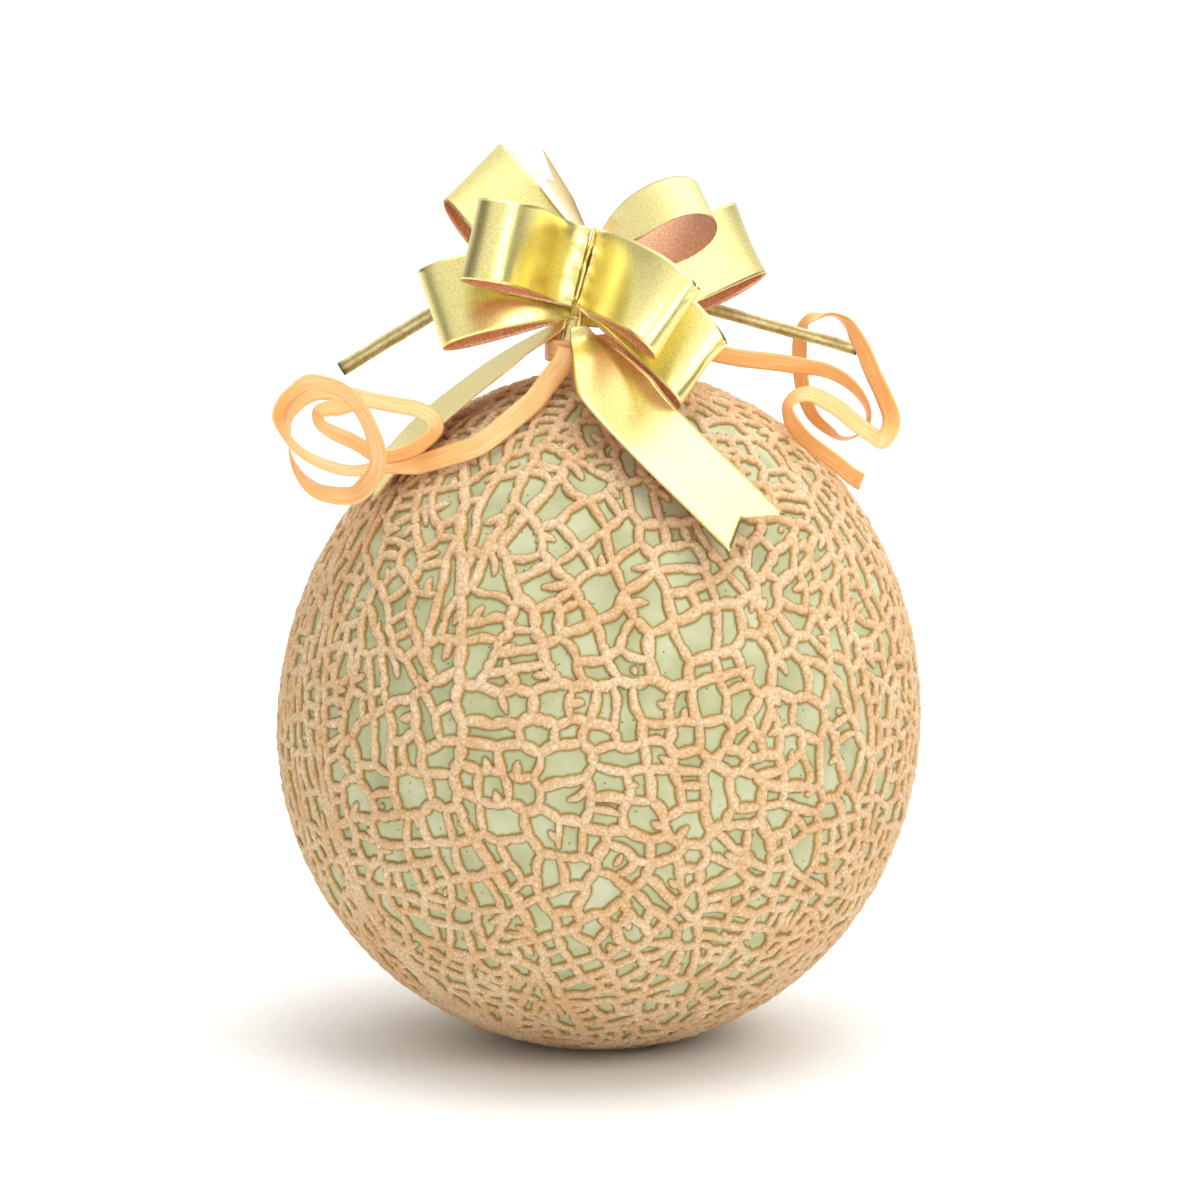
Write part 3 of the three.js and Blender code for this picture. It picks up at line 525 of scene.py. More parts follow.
class CorkNet:
    """Cells of the sphere of directions, cut again and again by cords."""

    def __init__(self, melon):
        self.melon = melon
        self.random = random.Random(melon.net_seed)
        self.radius_mm = melon.radius / MM
        self.nodes = []
        self.cells = []
        self.cell_of_side = {}
        self.cords = []
        self.cord_of_side = {}

    def add_node(self, direction):
        self.nodes.append(unit(np.asarray(direction, dtype=float)))
        return len(self.nodes) - 1

    def add_cell(self, loop):
        self.cells.append(loop)
        for a, b in zip(loop, loop[1:] + loop[:1]):
            self.cell_of_side[a, b] = len(self.cells) - 1

    def add_cord(self, chain):
        self.cords.append(chain)
        for a, b in zip(chain, chain[1:]):
            self.cord_of_side[frozenset((a, b))] = len(self.cords) - 1

    def start(self, stem_direction):
        """Rings at the stem and the blossom end, joined by gores whose sides wander."""
        draw = self.random
        turn = Vector((0, 0, 1)).rotation_difference(Vector(stem_direction))
        first = STEM_RING_MM / self.radius_mm
        last = math.pi - BLOSSOM_RING_MM / self.radius_mm
        grid = []
        for row in range(GORE_ROWS):
            is_ring = row in (0, GORE_ROWS - 1)
            wander = 0.1 if is_ring else 0.3
            ring = []
            for gore in range(GORES):
                place = gore + 0.04 * row + wander * (draw.random() - 0.5)
                angle = place * 2 * math.pi / GORES
                polar = first + (last - first) * row / (GORE_ROWS - 1)
                polar += 0 if is_ring else 0.06 * (draw.random() - 0.5)
                direction = Vector((math.sin(polar) * math.cos(angle),
                                    math.sin(polar) * math.sin(angle), math.cos(polar)))
                ring.append(self.add_node(turn @ direction))
            grid.append(ring)
        self.add_cell(list(grid[0]))
        self.add_cell(list(grid[-1])[::-1])
        for ring in (grid[0], grid[-1]):
            self.add_cord([*ring, ring[0]])
        self.rings = set(grid[0] + grid[-1])
        for gore in range(GORES):
            beside = (gore + 1) % GORES
            down = [ring[gore] for ring in grid]
            up = [ring[beside] for ring in reversed(grid)]
            self.add_cell(down + up)
            self.add_cord(down)

    def vector_area(self, loop):
        points = np.array([self.nodes[i] for i in loop])
        return np.cross(points, np.roll(points, -1, axis=0)).sum(axis=0) / 2

    def wanted_area(self, hub):
        """Meshes are widest high on the front and get finer towards the ends and the right."""
        x, y, z = hub
        front = max(0.0, -y * 0.9 + z * 0.28 - x * 0.12)
        factor = 0.66 + 0.6 * front**2.2
        factor *= 1 - 0.32 * max(0.0, -z) ** 1.3
        factor *= 1 - 0.3 * max(0.0, z - 0.72) / 0.28
        wave = math.sin(9.1 * x + 4.3 * y + 1) * math.sin(6.7 * z - 5.2 * x + 2)
        return self.melon.mesh_area * factor * (1 + 0.22 * wave)

    def cut_side(self, cell, i, share):
        """Puts a node on the side that leaves corner i of a cell, for both cells beside it."""
        loop = self.cells[cell]
        a, b = loop[i], loop[(i + 1) % len(loop)]
        cut = self.add_node(self.nodes[a] * (1 - share) + self.nodes[b] * share)
        other = self.cell_of_side[b, a]
        loop.insert(i + 1, cut)
        beyond = self.cells[other]
        beyond.insert(beyond.index(b) + 1, cut)
        self.cell_of_side.update({(a, cut): cell, (cut, b): cell,
                                  (b, cut): other, (cut, a): other})
        cord = self.cord_of_side.pop(frozenset((a, b)))
        chain = self.cords[cord]
        for k in range(len(chain) - 1):
            if {chain[k], chain[k + 1]} == {a, b}:
                chain.insert(k + 1, cut)
                break
        self.cord_of_side[frozenset((a, cut))] = cord
        self.cord_of_side[frozenset((cut, b))] = cord
        return cut

    def best_cord(self, loop, shortest_mm, is_long):
        """The best of some random cords across a cell: two ends, each a corner and a share."""
        draw = self.random
        count = len(loop)
        points = np.array([self.nodes[i] for i in loop])
        following = np.roll(points, -1, axis=0)
        lengths = np.linalg.norm(following - points, axis=1) * self.radius_mm
        sweep = np.cross(points, following)
        running = np.concatenate([np.zeros((1, 3)), np.cumsum(sweep, axis=0)])
        whole = running[-1]
        axis = melon_axis(self.melon)
        best = None
        for _ in range(CORD_TRIES):
            ends = []
            for _ in range(2):
                i = draw.randrange(count)
                is_corner = draw.random() < CORNER_CHANCE
                ends.append((i, 0.0 if is_corner else draw.uniform(0.3, 0.7)))
            ends.sort()
            (low, low_share), (high, high_share) = ends
            if low == high or any(s and lengths[i] < 2 * shortest_mm for i, s in ends):
                continue
            start = points[low] * (1 - low_share) + following[low] * low_share
            end = points[high] * (1 - high_share) + following[high] * high_share
            part = running[high] - running[low + 1] + np.cross(start, points[(low + 1) % count])
            part = part + np.cross(points[high], end) + np.cross(end, start)
            share = part @ whole / (whole @ whole)
            share = min(share, 1 - share)
            if share < (LONG_CORD_SHARE if is_long else SMALLEST_SHARE):
                continue
            way = end - start
            length = np.linalg.norm(way)
            way = way / max(length, 1e-9)
            square = 1.0
            for i, s in ends:
                side = (following[i] - points[i]) / max(lengths[i] / self.radius_mm, 1e-9)
                square = min(square, 1 - abs(side @ way))
                if not s:
                    side = (points[i] - points[i - 1])
                    side = side / max(np.linalg.norm(side), 1e-9)
                    square = min(square, 1 - abs(side @ way))
            score = length * (1 + 6 * max(0.0, 0.42 - share)) / (0.12 + square)
            if is_long:
                middle = unit(start + end)
                meridian = unit(axis - middle * (axis @ middle))
                score = 1.15 - abs(way @ meridian)
            if best is None or score < best[0]:
                best = (score, ends)
        return best and best[1]

    def divide(self, cell):
        draw = self.random
        waiting = [cell]
        while waiting:
            cell = waiting.pop()
            loop = self.cells[cell]
            vector_area = self.vector_area(loop)
            area = np.linalg.norm(vector_area) * self.radius_mm**2
            hub = unit(vector_area)
            if area < self.wanted_area(hub) * (0.62 + 0.9 * draw.random()):
                continue
            smallest, largest = LONG_CORD_CELLS_MM2
            is_long = smallest < area < largest and draw.random() < LONG_CORD_CHANCE
            ends = self.best_cord(loop, 2.2, is_long) or self.best_cord(loop, 1.2, False)
            if not ends:
                continue
            (low, low_share), (high, high_share) = ends
            end = self.cut_side(cell, high, high_share) if high_share else loop[high]
            start = self.cut_side(cell, low, low_share) if low_share else loop[low]
            chain = self.wander(start, end)
            self.add_cord(chain)
            at_start, at_end = loop.index(start), loop.index(end)
            inner = chain[1:-1]
            half = loop[at_start:at_end + 1] + inner[::-1]
            rest = loop[at_end:] + loop[:at_start + 1] + inner
            self.cells[cell] = half
            for a, b in zip(half, half[1:] + half[:1]):
                self.cell_of_side[a, b] = cell
            self.add_cell(rest)
            waiting += [cell, len(self.cells) - 1]

    def wander(self, start, end):
        """A long cord bends a little every centimetre or so."""
        draw = self.random
        a, b = self.nodes[start], self.nodes[end]
        length = np.linalg.norm(b - a) * self.radius_mm
        bends = int(length / 11)
        side = unit(np.cross(a, b))
        chain = [start]
        for k in range(bends):
            t = (k + 1) / (bends + 1)
            away = draw.uniform(-1, 1) * 0.09 * length / (bends + 1) / self.radius_mm * 2
            chain.append(self.add_node(a * (1 - t) + b * t + side * away))
        return chain + [end]

    def settle(self, pull=0.22, passes=2):
        """Cords pull one another a little out of line where they meet."""
        beside = [set() for _ in self.nodes]
        for a, b in self.cell_of_side:
            if frozenset((a, b)) in self.cord_of_side:
                beside[a].add(b)
                beside[b].add(a)
        for _ in range(passes):
            moved = []
            for i, place in enumerate(self.nodes):
                if i in self.rings or not beside[i]:
                    moved.append(place)
                    continue
                mean = sum(self.nodes[k] for k in sorted(beside[i])) / len(beside[i])
                moved.append(unit(place * (1 - pull) + mean * pull))
            self.nodes = moved


def cord_points(net):
    """Points every third of a millimetre along the cords, with the reach and height of each."""
    draw = net.random
    step = NET_POINT_STEP_MM / net.radius_mm
    places, reaches, heights = [], [], []

    def run(a, b, reach, height, bend, thin_start, thin_end):
        length = np.linalg.norm(b - a)
        count = max(2, int(math.ceil(length / step)))
        side = np.cross(a, b)
        side = side / max(np.linalg.norm(side), 1e-9)
        for k in range(count + 1):
            s = k / count
            full = math.sin(math.pi * s) ** 0.55 if 0 < s < 1 else 0.0
            from_end = thin_start * (1 - s) ** 3 + thin_end * s**3
            bent = side * (bend * math.sin(math.pi * s) * length)
            places.append(unit(a * (1 - s) + b * s + bent))
            reaches.append(reach * (0.72 + 0.28 * full - from_end))
            heights.append(height * (0.74 + 0.26 * full - 0.7 * from_end))

    for chain in net.cords:
        strength = draw.uniform(0.84, 1.12) + min(0.14, 0.012 * len(chain))
        last = len(chain) - 2
        for k, (i, j) in enumerate(zip(chain, chain[1:])):
            reach = strength * draw.uniform(0.9, 1.1)
            height = draw.uniform(0.82, 1.0)
            bend = draw.gauss(0, 0.075)
            start, end = net.nodes[i], net.nodes[j]
            if draw.random() < BROKEN_CHANCE and len(chain) == 2:
                end = unit(start + (end - start) * draw.uniform(0.55, 0.8))
            run(start, end, reach, height, bend, THIN_END * (k == 0), THIN_END * (k == last))
    for loop in net.cells[2:]:
        vector_area = net.vector_area(loop)
        area = np.linalg.norm(vector_area) * net.radius_mm**2
        hub = unit(vector_area)
        if area > SPUR_CELL_MM2 and draw.random() < SPUR_CHANCE:
            k = draw.randrange(len(loop))
            root = net.nodes[loop[k]] * 0.5 + net.nodes[loop[(k + 1) % len(loop)]] * 0.5
            tip = root + (hub - root) * draw.uniform(0.6, 1.0)
            run(unit(root), unit(tip), draw.uniform(0.75, 0.95), 0.85, 0.08, 0.0, 0.24)
        elif draw.random() < CRUMB_CHANCE:
            spot = unit(hub + vec(*(draw.gauss(0, 0.012) for _ in range(3))))
            run(spot, unit(spot + vec(*(draw.gauss(0, 0.01) for _ in range(3)))), 0.6, 0.6, 0, 0, 0)
    return np.array(places), np.array(reaches), np.array(heights)


def net_points_object(melon, stem_direction):
    """The net as loose points just on the rind, for the rind's own node tree to read."""
    net = CorkNet(melon)
    net.start(stem_direction)
    for cell in range(2, len(net.cells)):
        net.divide(cell)
    net.settle()
    directions, reaches, heights = cord_points(net)
    points = on_melon(melon, directions, np.zeros(len(directions)))
    mesh = bpy.data.meshes.new("net_points")
    mesh.from_pydata([tuple(point) for point in points], [], [])
    for name, values in (("reach", reaches * melon.net_reach), ("tall", heights)):
        layer = mesh.attributes.new(name, "FLOAT", "POINT")
        layer.data.foreach_set("value", values)
    return add_object("net_points", mesh)


def new_shape_tree(name, named_inputs):
    """An empty Geometry Nodes tree, its inputs, and the function that adds a node to it."""
    tree = bpy.data.node_groups.new(name, "GeometryNodeTree")
    sockets = {"Geometry": "Geometry", **named_inputs}
    for label, kind in sockets.items():
        tree.interface.new_socket(label, in_out="INPUT", socket_type="NodeSocket" + kind)
    tree.interface.new_socket("Geometry", in_out="OUTPUT", socket_type="NodeSocketGeometry")
    return tree, node(tree, "NodeGroupInput", out=None), partial(node, tree)


def rind_tree():
    """Node tree: six sides blown up to the melon's body, with the cork cords raised on it."""
    tree, given, add = new_shape_tree("netted_rind", {
        "Net points": "Object", "Grid": "Int", "Radius": "Float", "Stretch": "Float",
        "Taper": "Float", "Axis": "Vector", "Centre height": "Float", "Net height": "Float",
        "Wobble": "Float", "Skin": "Material"})
    corners = add(MATHS, [given["Grid"], 1], operation="ADD")
    cube = add("GeometryNodeMeshCube", [(2, 2, 2), corners, corners, corners])
    position = add("GeometryNodeInputPosition")
    eighths = add(VECTORS, {0: position, "Scale": math.pi / 4}, operation="SCALE")
    eased = add(VECTORS, [eighths], operation="TANGENT")
    direction = add(VECTORS, [eased], operation="NORMALIZE")
    # Distance from the centre to the rind: stretch and taper along the leaning axis
    c = add(VECTORS, [direction, given["Axis"]], "Value", operation="DOT_PRODUCT")
    square = add(MATHS, [c, c], operation="MULTIPLY")
    second = add(MATHS, [square, 1.5, -0.5], operation="MULTIPLY_ADD")
    stretch = add(MATHS, [second, given["Stretch"]], operation="MULTIPLY")
    third = add(MATHS, [square, 2.5, -1.5], operation="MULTIPLY_ADD")
    cubic = add(MATHS, [third, c], operation="MULTIPLY")
    shape = add(MATHS, [cubic, given["Taper"], stretch], operation="MULTIPLY_ADD")
    longer = add(MATHS, [shape, 1.0], operation="ADD")
    radius = add(MATHS, [longer, given["Radius"]], operation="MULTIPLY")
    centre = add("ShaderNodeCombineXYZ", {"Z": given["Centre height"]})
    out_to_rind = add(VECTORS, {0: direction, "Scale": radius}, operation="SCALE")
    rind = add(VECTORS, [out_to_rind, centre], operation="ADD")
    body = add("GeometryNodeSetPosition", {"Geometry": cube, "Position": rind})
    # Each place on the rind looks for the nearest point of the net, through a slight wobble
    here = add("GeometryNodeInputPosition")
    noise = add(NOISE, {"Vector": here, "Scale": per_mm(3.2), "Detail": 2.0}, "Color")
    centred = add(VECTORS, [noise, (0.5, 0.5, 0.5)], operation="SUBTRACT")
    wobble = add(VECTORS, {0: centred, "Scale": given["Wobble"]}, operation="SCALE")
    looking = add(VECTORS, [here, wobble], operation="ADD")
    points = add("GeometryNodeObjectInfo", {"Object": given["Net points"]}, "Geometry")
    nearest = add("GeometryNodeSampleNearest", {"Geometry": points, "Sample Position": looking},
                  domain="POINT")
    samples = {"position": position}
    for name in ("reach", "tall"):
        samples[name] = add("GeometryNodeInputNamedAttribute", {"Name": name}, "Attribute",
                            data_type="FLOAT")
    for name, source in samples.items():
        kind = "FLOAT_VECTOR" if name == "position" else "FLOAT"
        samples[name] = add("GeometryNodeSampleIndex", {
            "Geometry": points, "Value": source, "Index": nearest}, "Value", data_type=kind,
            domain="POINT")
    distance = add(VECTORS, [looking, samples["position"]], "Value", operation="DISTANCE")
    ratio = add(MATHS, [distance, samples["reach"]], operation="DIVIDE")
    near = add(MATHS, [ratio, 1.0], operation="MINIMUM")
    inside = add(MATHS, [1.0, near], operation="SUBTRACT")
    # A cord's section: steep at its foot, rounded on top
    power = add(MATHS, [near, 2.6], operation="POWER")
    rounded = add(MATHS, [1.0, power], operation="SUBTRACT")
    section = add(MATHS, [rounded, 0.62], operation="POWER")
    grain = add(NOISE, {"Vector": here, "Scale": per_mm(2.1), "Detail": 2.0})
    lumpy = add(MATHS, [grain, 0.5, 0.75], operation="MULTIPLY_ADD")
    lumps = add(MATHS, [section, lumpy], operation="MULTIPLY")
    height = add(MATHS, [lumps, samples["tall"]], operation="MULTIPLY")
    raised = add(MATHS, [height, given["Net height"]], operation="MULTIPLY")
    swell = add(NOISE, {"Vector": here, "Scale": per_mm(16), "Detail": 1.0})
    swelling = add(MATHS, [swell, 0.5], operation="SUBTRACT")
    offset = add(MATHS, [swelling, 0.4 * MM, raised], operation="MULTIPLY_ADD")
    from_centre = add(VECTORS, [here, centre], operation="SUBTRACT")
    outward = add(VECTORS, [from_centre], operation="NORMALIZE")
    step = add(VECTORS, {0: outward, "Scale": offset}, operation="SCALE")
    moved = add(VECTORS, [here, step], operation="ADD")
    standing = add(VECTORS, [moved, (-1.0, -1.0, 0.0)], operation="MAXIMUM")
    foot = add(MATHS, [distance, samples["reach"]], operation="SUBTRACT")
    marked = body
    for name, value in (("foot", foot), ("crest", inside)):
        marked = add("GeometryNodeStoreNamedAttribute", {
            "Geometry": marked, "Name": name, "Value": value}, data_type="FLOAT", domain="POINT")
    netted = add("GeometryNodeSetPosition", {"Geometry": marked, "Position": standing})
    real = add("GeometryNodeRealizeInstances", [netted])
    skinned = add("GeometryNodeSetMaterial", {"Geometry": real, "Material": given["Skin"]})
    add("NodeGroupOutput", [skinned], None)
    return tree


def evaluated_mesh(carrier, tree, values):
    """Runs a node tree on an object with named inputs, and returns the result as a plain mesh."""
    modifier = carrier.modifiers.new(tree.name, "NODES")
    modifier.node_group = tree
    for item in tree.interface.items_tree:
        if item.item_type == "SOCKET" and item.in_out == "INPUT" and item.name in values:
            modifier[item.identifier] = values[item.name]
    bpy.context.view_layer.update()
    depsgraph = bpy.context.evaluated_depsgraph_get()
    mesh = bpy.data.meshes.new_from_object(carrier.evaluated_get(depsgraph), depsgraph=depsgraph)
    carrier.modifiers.remove(modifier)
    return mesh


def cut_into_wedges(mesh, centre, name):
    """Cuts the body into six closed wedges that meet at its centre, one for each side.

    The skin's own normals are kept, so that no seam shows where two wedges meet.
    """
    count = len(mesh.vertices)
    places = np.empty(count * 3, dtype=np.float32)
    mesh.vertices.foreach_get("co", places)
    places = places.reshape(-1, 3).astype(float)
    normals = np.empty(count * 3, dtype=np.float32)
    mesh.vertex_normals.foreach_get("vector", normals)
    normals = normals.reshape(-1, 3)
    layers = {}
    for key in ("foot", "crest"):
        layers[key] = np.empty(count, dtype=np.float32)
        mesh.attributes[key].data.foreach_get("value", layers[key])
    corners = np.empty(len(mesh.loops), dtype=np.int32)
    mesh.loops.foreach_get("vertex_index", corners)
    quads = corners.reshape(-1, 4)
    middles = places[quads].mean(axis=1) - centre
    axes = np.abs(middles).argmax(axis=1)
    sides = axes * 2 + (middles[np.arange(len(quads)), axes] > 0)
    pieces = []
    for side in range(6):
        own = quads[sides == side]
        used, local = np.unique(own, return_inverse=True)
        local = local.reshape(own.shape)
        edges = np.concatenate([local[:, [k, (k + 1) % 4]] for k in range(4)])
        keys = edges[:, 0].astype(np.int64) * len(used) + edges[:, 1]
        mirrored = edges[:, 1].astype(np.int64) * len(used) + edges[:, 0]
        rim = edges[~np.isin(keys, mirrored)]
        hub = len(used)
        vertices = np.concatenate([places[used], centre[None]])
        walls = [(int(b), int(a), hub) for a, b in rim]
        piece_mesh = bpy.data.meshes.new(f"{name}_{side + 1}")
        piece_mesh.from_pydata(vertices.tolist(), [], local.tolist() + walls)
        piece_mesh.polygons.foreach_set("use_smooth", np.ones(len(own) + len(walls), dtype=bool))
        for key, values in layers.items():
            layer = piece_mesh.attributes.new(key, "FLOAT", "POINT")
            layer.data.foreach_set("value", np.append(values[used], 0).astype(np.float32))
        outer = normals[used][local.reshape(-1)]
        wall_corners = vertices[np.array(walls)]
        wall_normals = np.cross(wall_corners[:, 1] - wall_corners[:, 0],
                                wall_corners[:, 2] - wall_corners[:, 0])
        wall_normals = np.repeat(unit(wall_normals), 3, axis=0)
        piece_mesh.normals_split_custom_set(np.concatenate([outer, wall_normals]).tolist())
        pieces.append(piece_mesh)
    return pieces


# Where the stem grows, and the routes that the vine and the ribbons follow, in millimetres

STALK_BASE_MM = (-7, 11)
VINE_JOINT = vec(-14, 20, 187.7)
VINE_LEFT_END = vec(-62.5, 18, 160)
VINE_RIGHT_END = vec(62, 16, 165)
VINE_SAG = vec(0, 0, 0.8)
STALK_RADII = [4.9, 4.2, 3.3, 2.9, 2.7, 2.6, 2.6, 2.7, 2.9, 2.6]


def stalk_foot(melon):
    """Where the stalk leaves the rind, and the direction that it grows in."""
    x, y = (value * MM for value in STALK_BASE_MM)
    z = melon.centre_height + melon.radius
    for _ in range(20):
        direction = unit(vec(x, y, z - melon.centre_height))
        radius = float(rind_radius(melon, direction[None])[0])
        z = melon.centre_height + math.sqrt(radius**2 - x**2 - y**2)
    foot = vec(x, y, z)
    return foot, unit(foot - vec(0, 0, melon.centre_height))


def vine_tree():
    """Node tree: a route with a radius at each point becomes a furrowed, knobbly length of vine."""
    tree, given, add = new_shape_tree("furrowed_vine", {
        "Ribs": "Float", "Rib depth": "Float", "Knobs": "Float", "Bark": "Material"})
    turn = add("GeometryNodeSplineParameter")
    route = add("GeometryNodeStoreNamedAttribute", {
        "Geometry": given["Geometry"], "Name": "along", "Value": turn}, data_type="FLOAT",
        domain="POINT")
    circle = add("GeometryNodeCurvePrimitiveCircle", {"Resolution": 64, "Radius": 1.0})
    angle = add(MATHS, [turn, 2 * math.pi], operation="MULTIPLY")
    broad_angle = add(MATHS, [angle, given["Ribs"]], operation="MULTIPLY")
    broad = add(MATHS, [broad_angle], operation="COSINE")
    thrice = add(MATHS, [given["Ribs"], 3.0], operation="MULTIPLY")
    narrow_angle = add(MATHS, [angle, thrice, 1.3], operation="MULTIPLY_ADD")
    narrow = add(MATHS, [narrow_angle], operation="COSINE")
    wave = add(MATHS, [narrow, 0.35, broad], operation="MULTIPLY_ADD")
    reach = add(MATHS, [wave, given["Rib depth"], 1.0], operation="MULTIPLY_ADD")
    place = add("GeometryNodeInputPosition")
    spread = add(VECTORS, {0: place, "Scale": reach}, operation="SCALE")
    ribbed = add("GeometryNodeSetPosition", {"Geometry": circle, "Position": spread})
    ridge = add(MATHS, [wave, 0.4, 0.5], operation="MULTIPLY_ADD")
    marked = add("GeometryNodeStoreNamedAttribute", {
        "Geometry": ribbed, "Name": "ridge", "Value": ridge}, data_type="FLOAT", domain="POINT")
    radius = add("GeometryNodeInputRadius")
    sweep = add("GeometryNodeCurveToMesh", {
        "Curve": route, "Profile Curve": marked, "Scale": radius, "Fill Caps": True})
    noise = add(NOISE, {"Vector": place, "Scale": per_mm(4.5), "Detail": 3.0})
    centred = add(MATHS, [noise, 0.5], operation="SUBTRACT")
    knob = add(MATHS, [centred, given["Knobs"]], operation="MULTIPLY")
    normal = add("GeometryNodeInputNormal")
    bulge = add(VECTORS, {0: normal, "Scale": knob}, operation="SCALE")
    knobbly = add("GeometryNodeSetPosition", {"Geometry": sweep, "Offset": bulge})
    real = add("GeometryNodeRealizeInstances", [knobbly])
    barked = add("GeometryNodeSetMaterial", {"Geometry": real, "Material": given["Bark"]})
    add("NodeGroupOutput", [barked], None)
    return tree


def vine_piece(name, route, radii, tree, material, ribs, depth, knobs):
    """One length of vine, from a route and a radius at each of its points."""
    curve = bpy.data.curves.new(name, "CURVE")
    curve.dimensions = "3D"
    spline = curve.splines.new("POLY")
    spline.points.add(len(route) - 1)
    for point, place, radius in zip(spline.points, route, radii):
        point.co = (*place, 1)
        point.radius = radius
    carrier = add_object(name + "_route", curve)
    mesh = evaluated_mesh(carrier, tree, {
        "Ribs": ribs, "Rib depth": depth, "Knobs": knobs, "Bark": material})
    bpy.data.objects.remove(carrier)
    mesh.polygons.foreach_set("use_smooth", np.ones(len(mesh.polygons), dtype=bool))
    return declare(add_object(name, mesh), "stem")


# The bow. Its pinch leans back and to the right, and all loops start on its sides.

PINCH_CENTRE = vec(-3.5, -9.5, 184.5)
PINCH_UP = unit(vec(0.243, 0.308, 0.918))
PINCH_FRONT = unit(vec(0, -0.948, 0.318))
PINCH_SIDE = unit(np.cross(PINCH_UP, PINCH_FRONT))
PINCH_DEPTH = 18.6
PINCH_HALF_HEIGHT = 9.75
PINCH_HALF_WIDTH = 0.42
PINCH_SQUARENESS = 0.4
PINCH_ROWS = 84
PINCH_COLUMNS = 96
NECK_LENGTH = 7
NECK_HALF_WIDTH = 1.3
NECK_HALF_DEPTH = 1.8
LOOP_OPENING = 0.3
LAYER_SPREAD = 0.7
TEARDROP_POWER = 3.2
TEARDROP_FULLNESS = 1.786
LOOP_ROOT_OUT = 0.9

# layer: how far in front of the pinch's middle the loop starts; end: middle of its round end
# across: the ribbon's width direction there; bulge: distance between its two layers
# arch: how far it runs sideways first, as a share of its length; twist: how late it turns
# rise: how far above the pinch's middle it starts; gathered: the share of its width there
LOOPS = {
    "front_left": dict(layer=7, end=(-26, -40, 194.9), across=(4, 6, 17.6),
                       bulge=13.5, arch=0.38, twist=0.8),
    "front_right": dict(layer=8, end=(16.6, -46.3, 177.5), across=(10.2, 9, 13.8),
                        bulge=10.4, arch=0.15, twist=1.7),
    "low_left": dict(layer=1.5, rise=-1.7, end=(-39.4, -18.6, 177.2), across=(-6.1, 6.5, 18.1),
                     bulge=10.3, arch=0.12, twist=1.74),
    "low_right": dict(layer=4.8, end=(23.3, -32.8, 163.7), across=(10.6, 10.5, 15.3),
                      bulge=7.5, arch=0.18, twist=2.1),
    "high_left": dict(layer=-7.5, end=(-30.8, 11.3, 207.1), across=(12.7, 7.5, 12.7),
                      bulge=12.3, arch=0.2, twist=1),
    "high_right": dict(layer=-4.6, rise=8, gathered=0.24, end=(25.3, -0.8, 200.9),
                       across=(-3.3, 14.9, 6.7), bulge=11, arch=0.06, twist=0),
    "back_right": dict(layer=-9.1, end=(35.9, 26.9, 190.3), across=(-7, 10.7, 16.7),
                       bulge=9, arch=0.25, twist=0.38),
}
LOOP_STEPS = 110
LOOP_OPENED = 0.6
CRUMPLE_MM = 0.42
CRUMPLE_REACH_MM = 3.6

TAIL_CLEARANCE = 3.8
TAIL_STEPS = 60
TAIL_ROOT_SHARE = 0.2
TAIL_GATHERED = 0.31
TAIL_NOTCH = 5
TAILS = {
    "front": dict(route=[(-5, -19.6, 173.5), (-4.2, -20.2, 171), (-1, -27, 167), (5, -38, 159),
                         (15, -48, 149), (26, -56, 139), (35.5, -61, 130)],
                  root_across=(1, 0.1, 0.3)),
    "left": dict(route=[(-8, -17, 174), (-11, -15.5, 172), (-18, -12.5, 167.5), (-30, -13, 159),
                        (-43, -16, 148), (-55, -20, 133)],
                 root_across=(0.1, -0.95, -0.35)),
    "back": dict(route=[(-3.2, 0.5, 194), (-6.4, 2.7, 199.1), (-9.7, 5, 204.3),
                        (-13.2, 7.5, 209.7)],
                 root_across=(0.02, 0.93, -0.4), end_across=(0.02, 0.93, -0.4)),
}


def loop_route(layer, end, across, bulge, arch, twist, rise=0.0, gathered=1.0):
    """Centres, width directions and shares of the full width of one loop, in mm.

    A loop is a teardrop along an arched line.
    """
    tip = vec(*end)
    out = PINCH_SIDE * math.copysign(1, tip[0] - PINCH_CENTRE[0])
    root = PINCH_CENTRE + PINCH_FRONT * layer + PINCH_UP * rise + out * LOOP_ROOT_OUT
    shoulder = root + out * arch * np.linalg.norm(tip - root)
    angles = np.linspace(LOOP_OPENING, 2 * math.pi - LOOP_OPENING, LOOP_STEPS + 1)
    start = (1 - math.cos(LOOP_OPENING)) / 2
    reach = ((1 - np.cos(angles)) / 2 - start) / (1 - start)
    reach = np.clip(reach, 0, 1)[:, None]
    spine = (1 - reach)**2 * root + 2 * reach * (1 - reach) * shoulder + reach**2 * tip
    tangents = unit((1 - reach) * (shoulder - root) + reach * (tip - shoulder) + 1e-9 * out)
    blend = reach**twist
    widths = unit(PINCH_UP * (1 - blend) + unit(vec(*across)) * blend)
    swing = TEARDROP_FULLNESS * np.sin(angles) * np.sin(angles / 2) ** TEARDROP_POWER
    apart = (LAYER_SPREAD * np.cos(angles / 2) + swing * bulge) / 2
    normals = unit(np.cross(tangents, widths))
    share = gathered + (1 - gathered) * np.clip(reach[:, 0] / LOOP_OPENED, 0, 1)
    return spine + normals * apart[:, None], widths, share


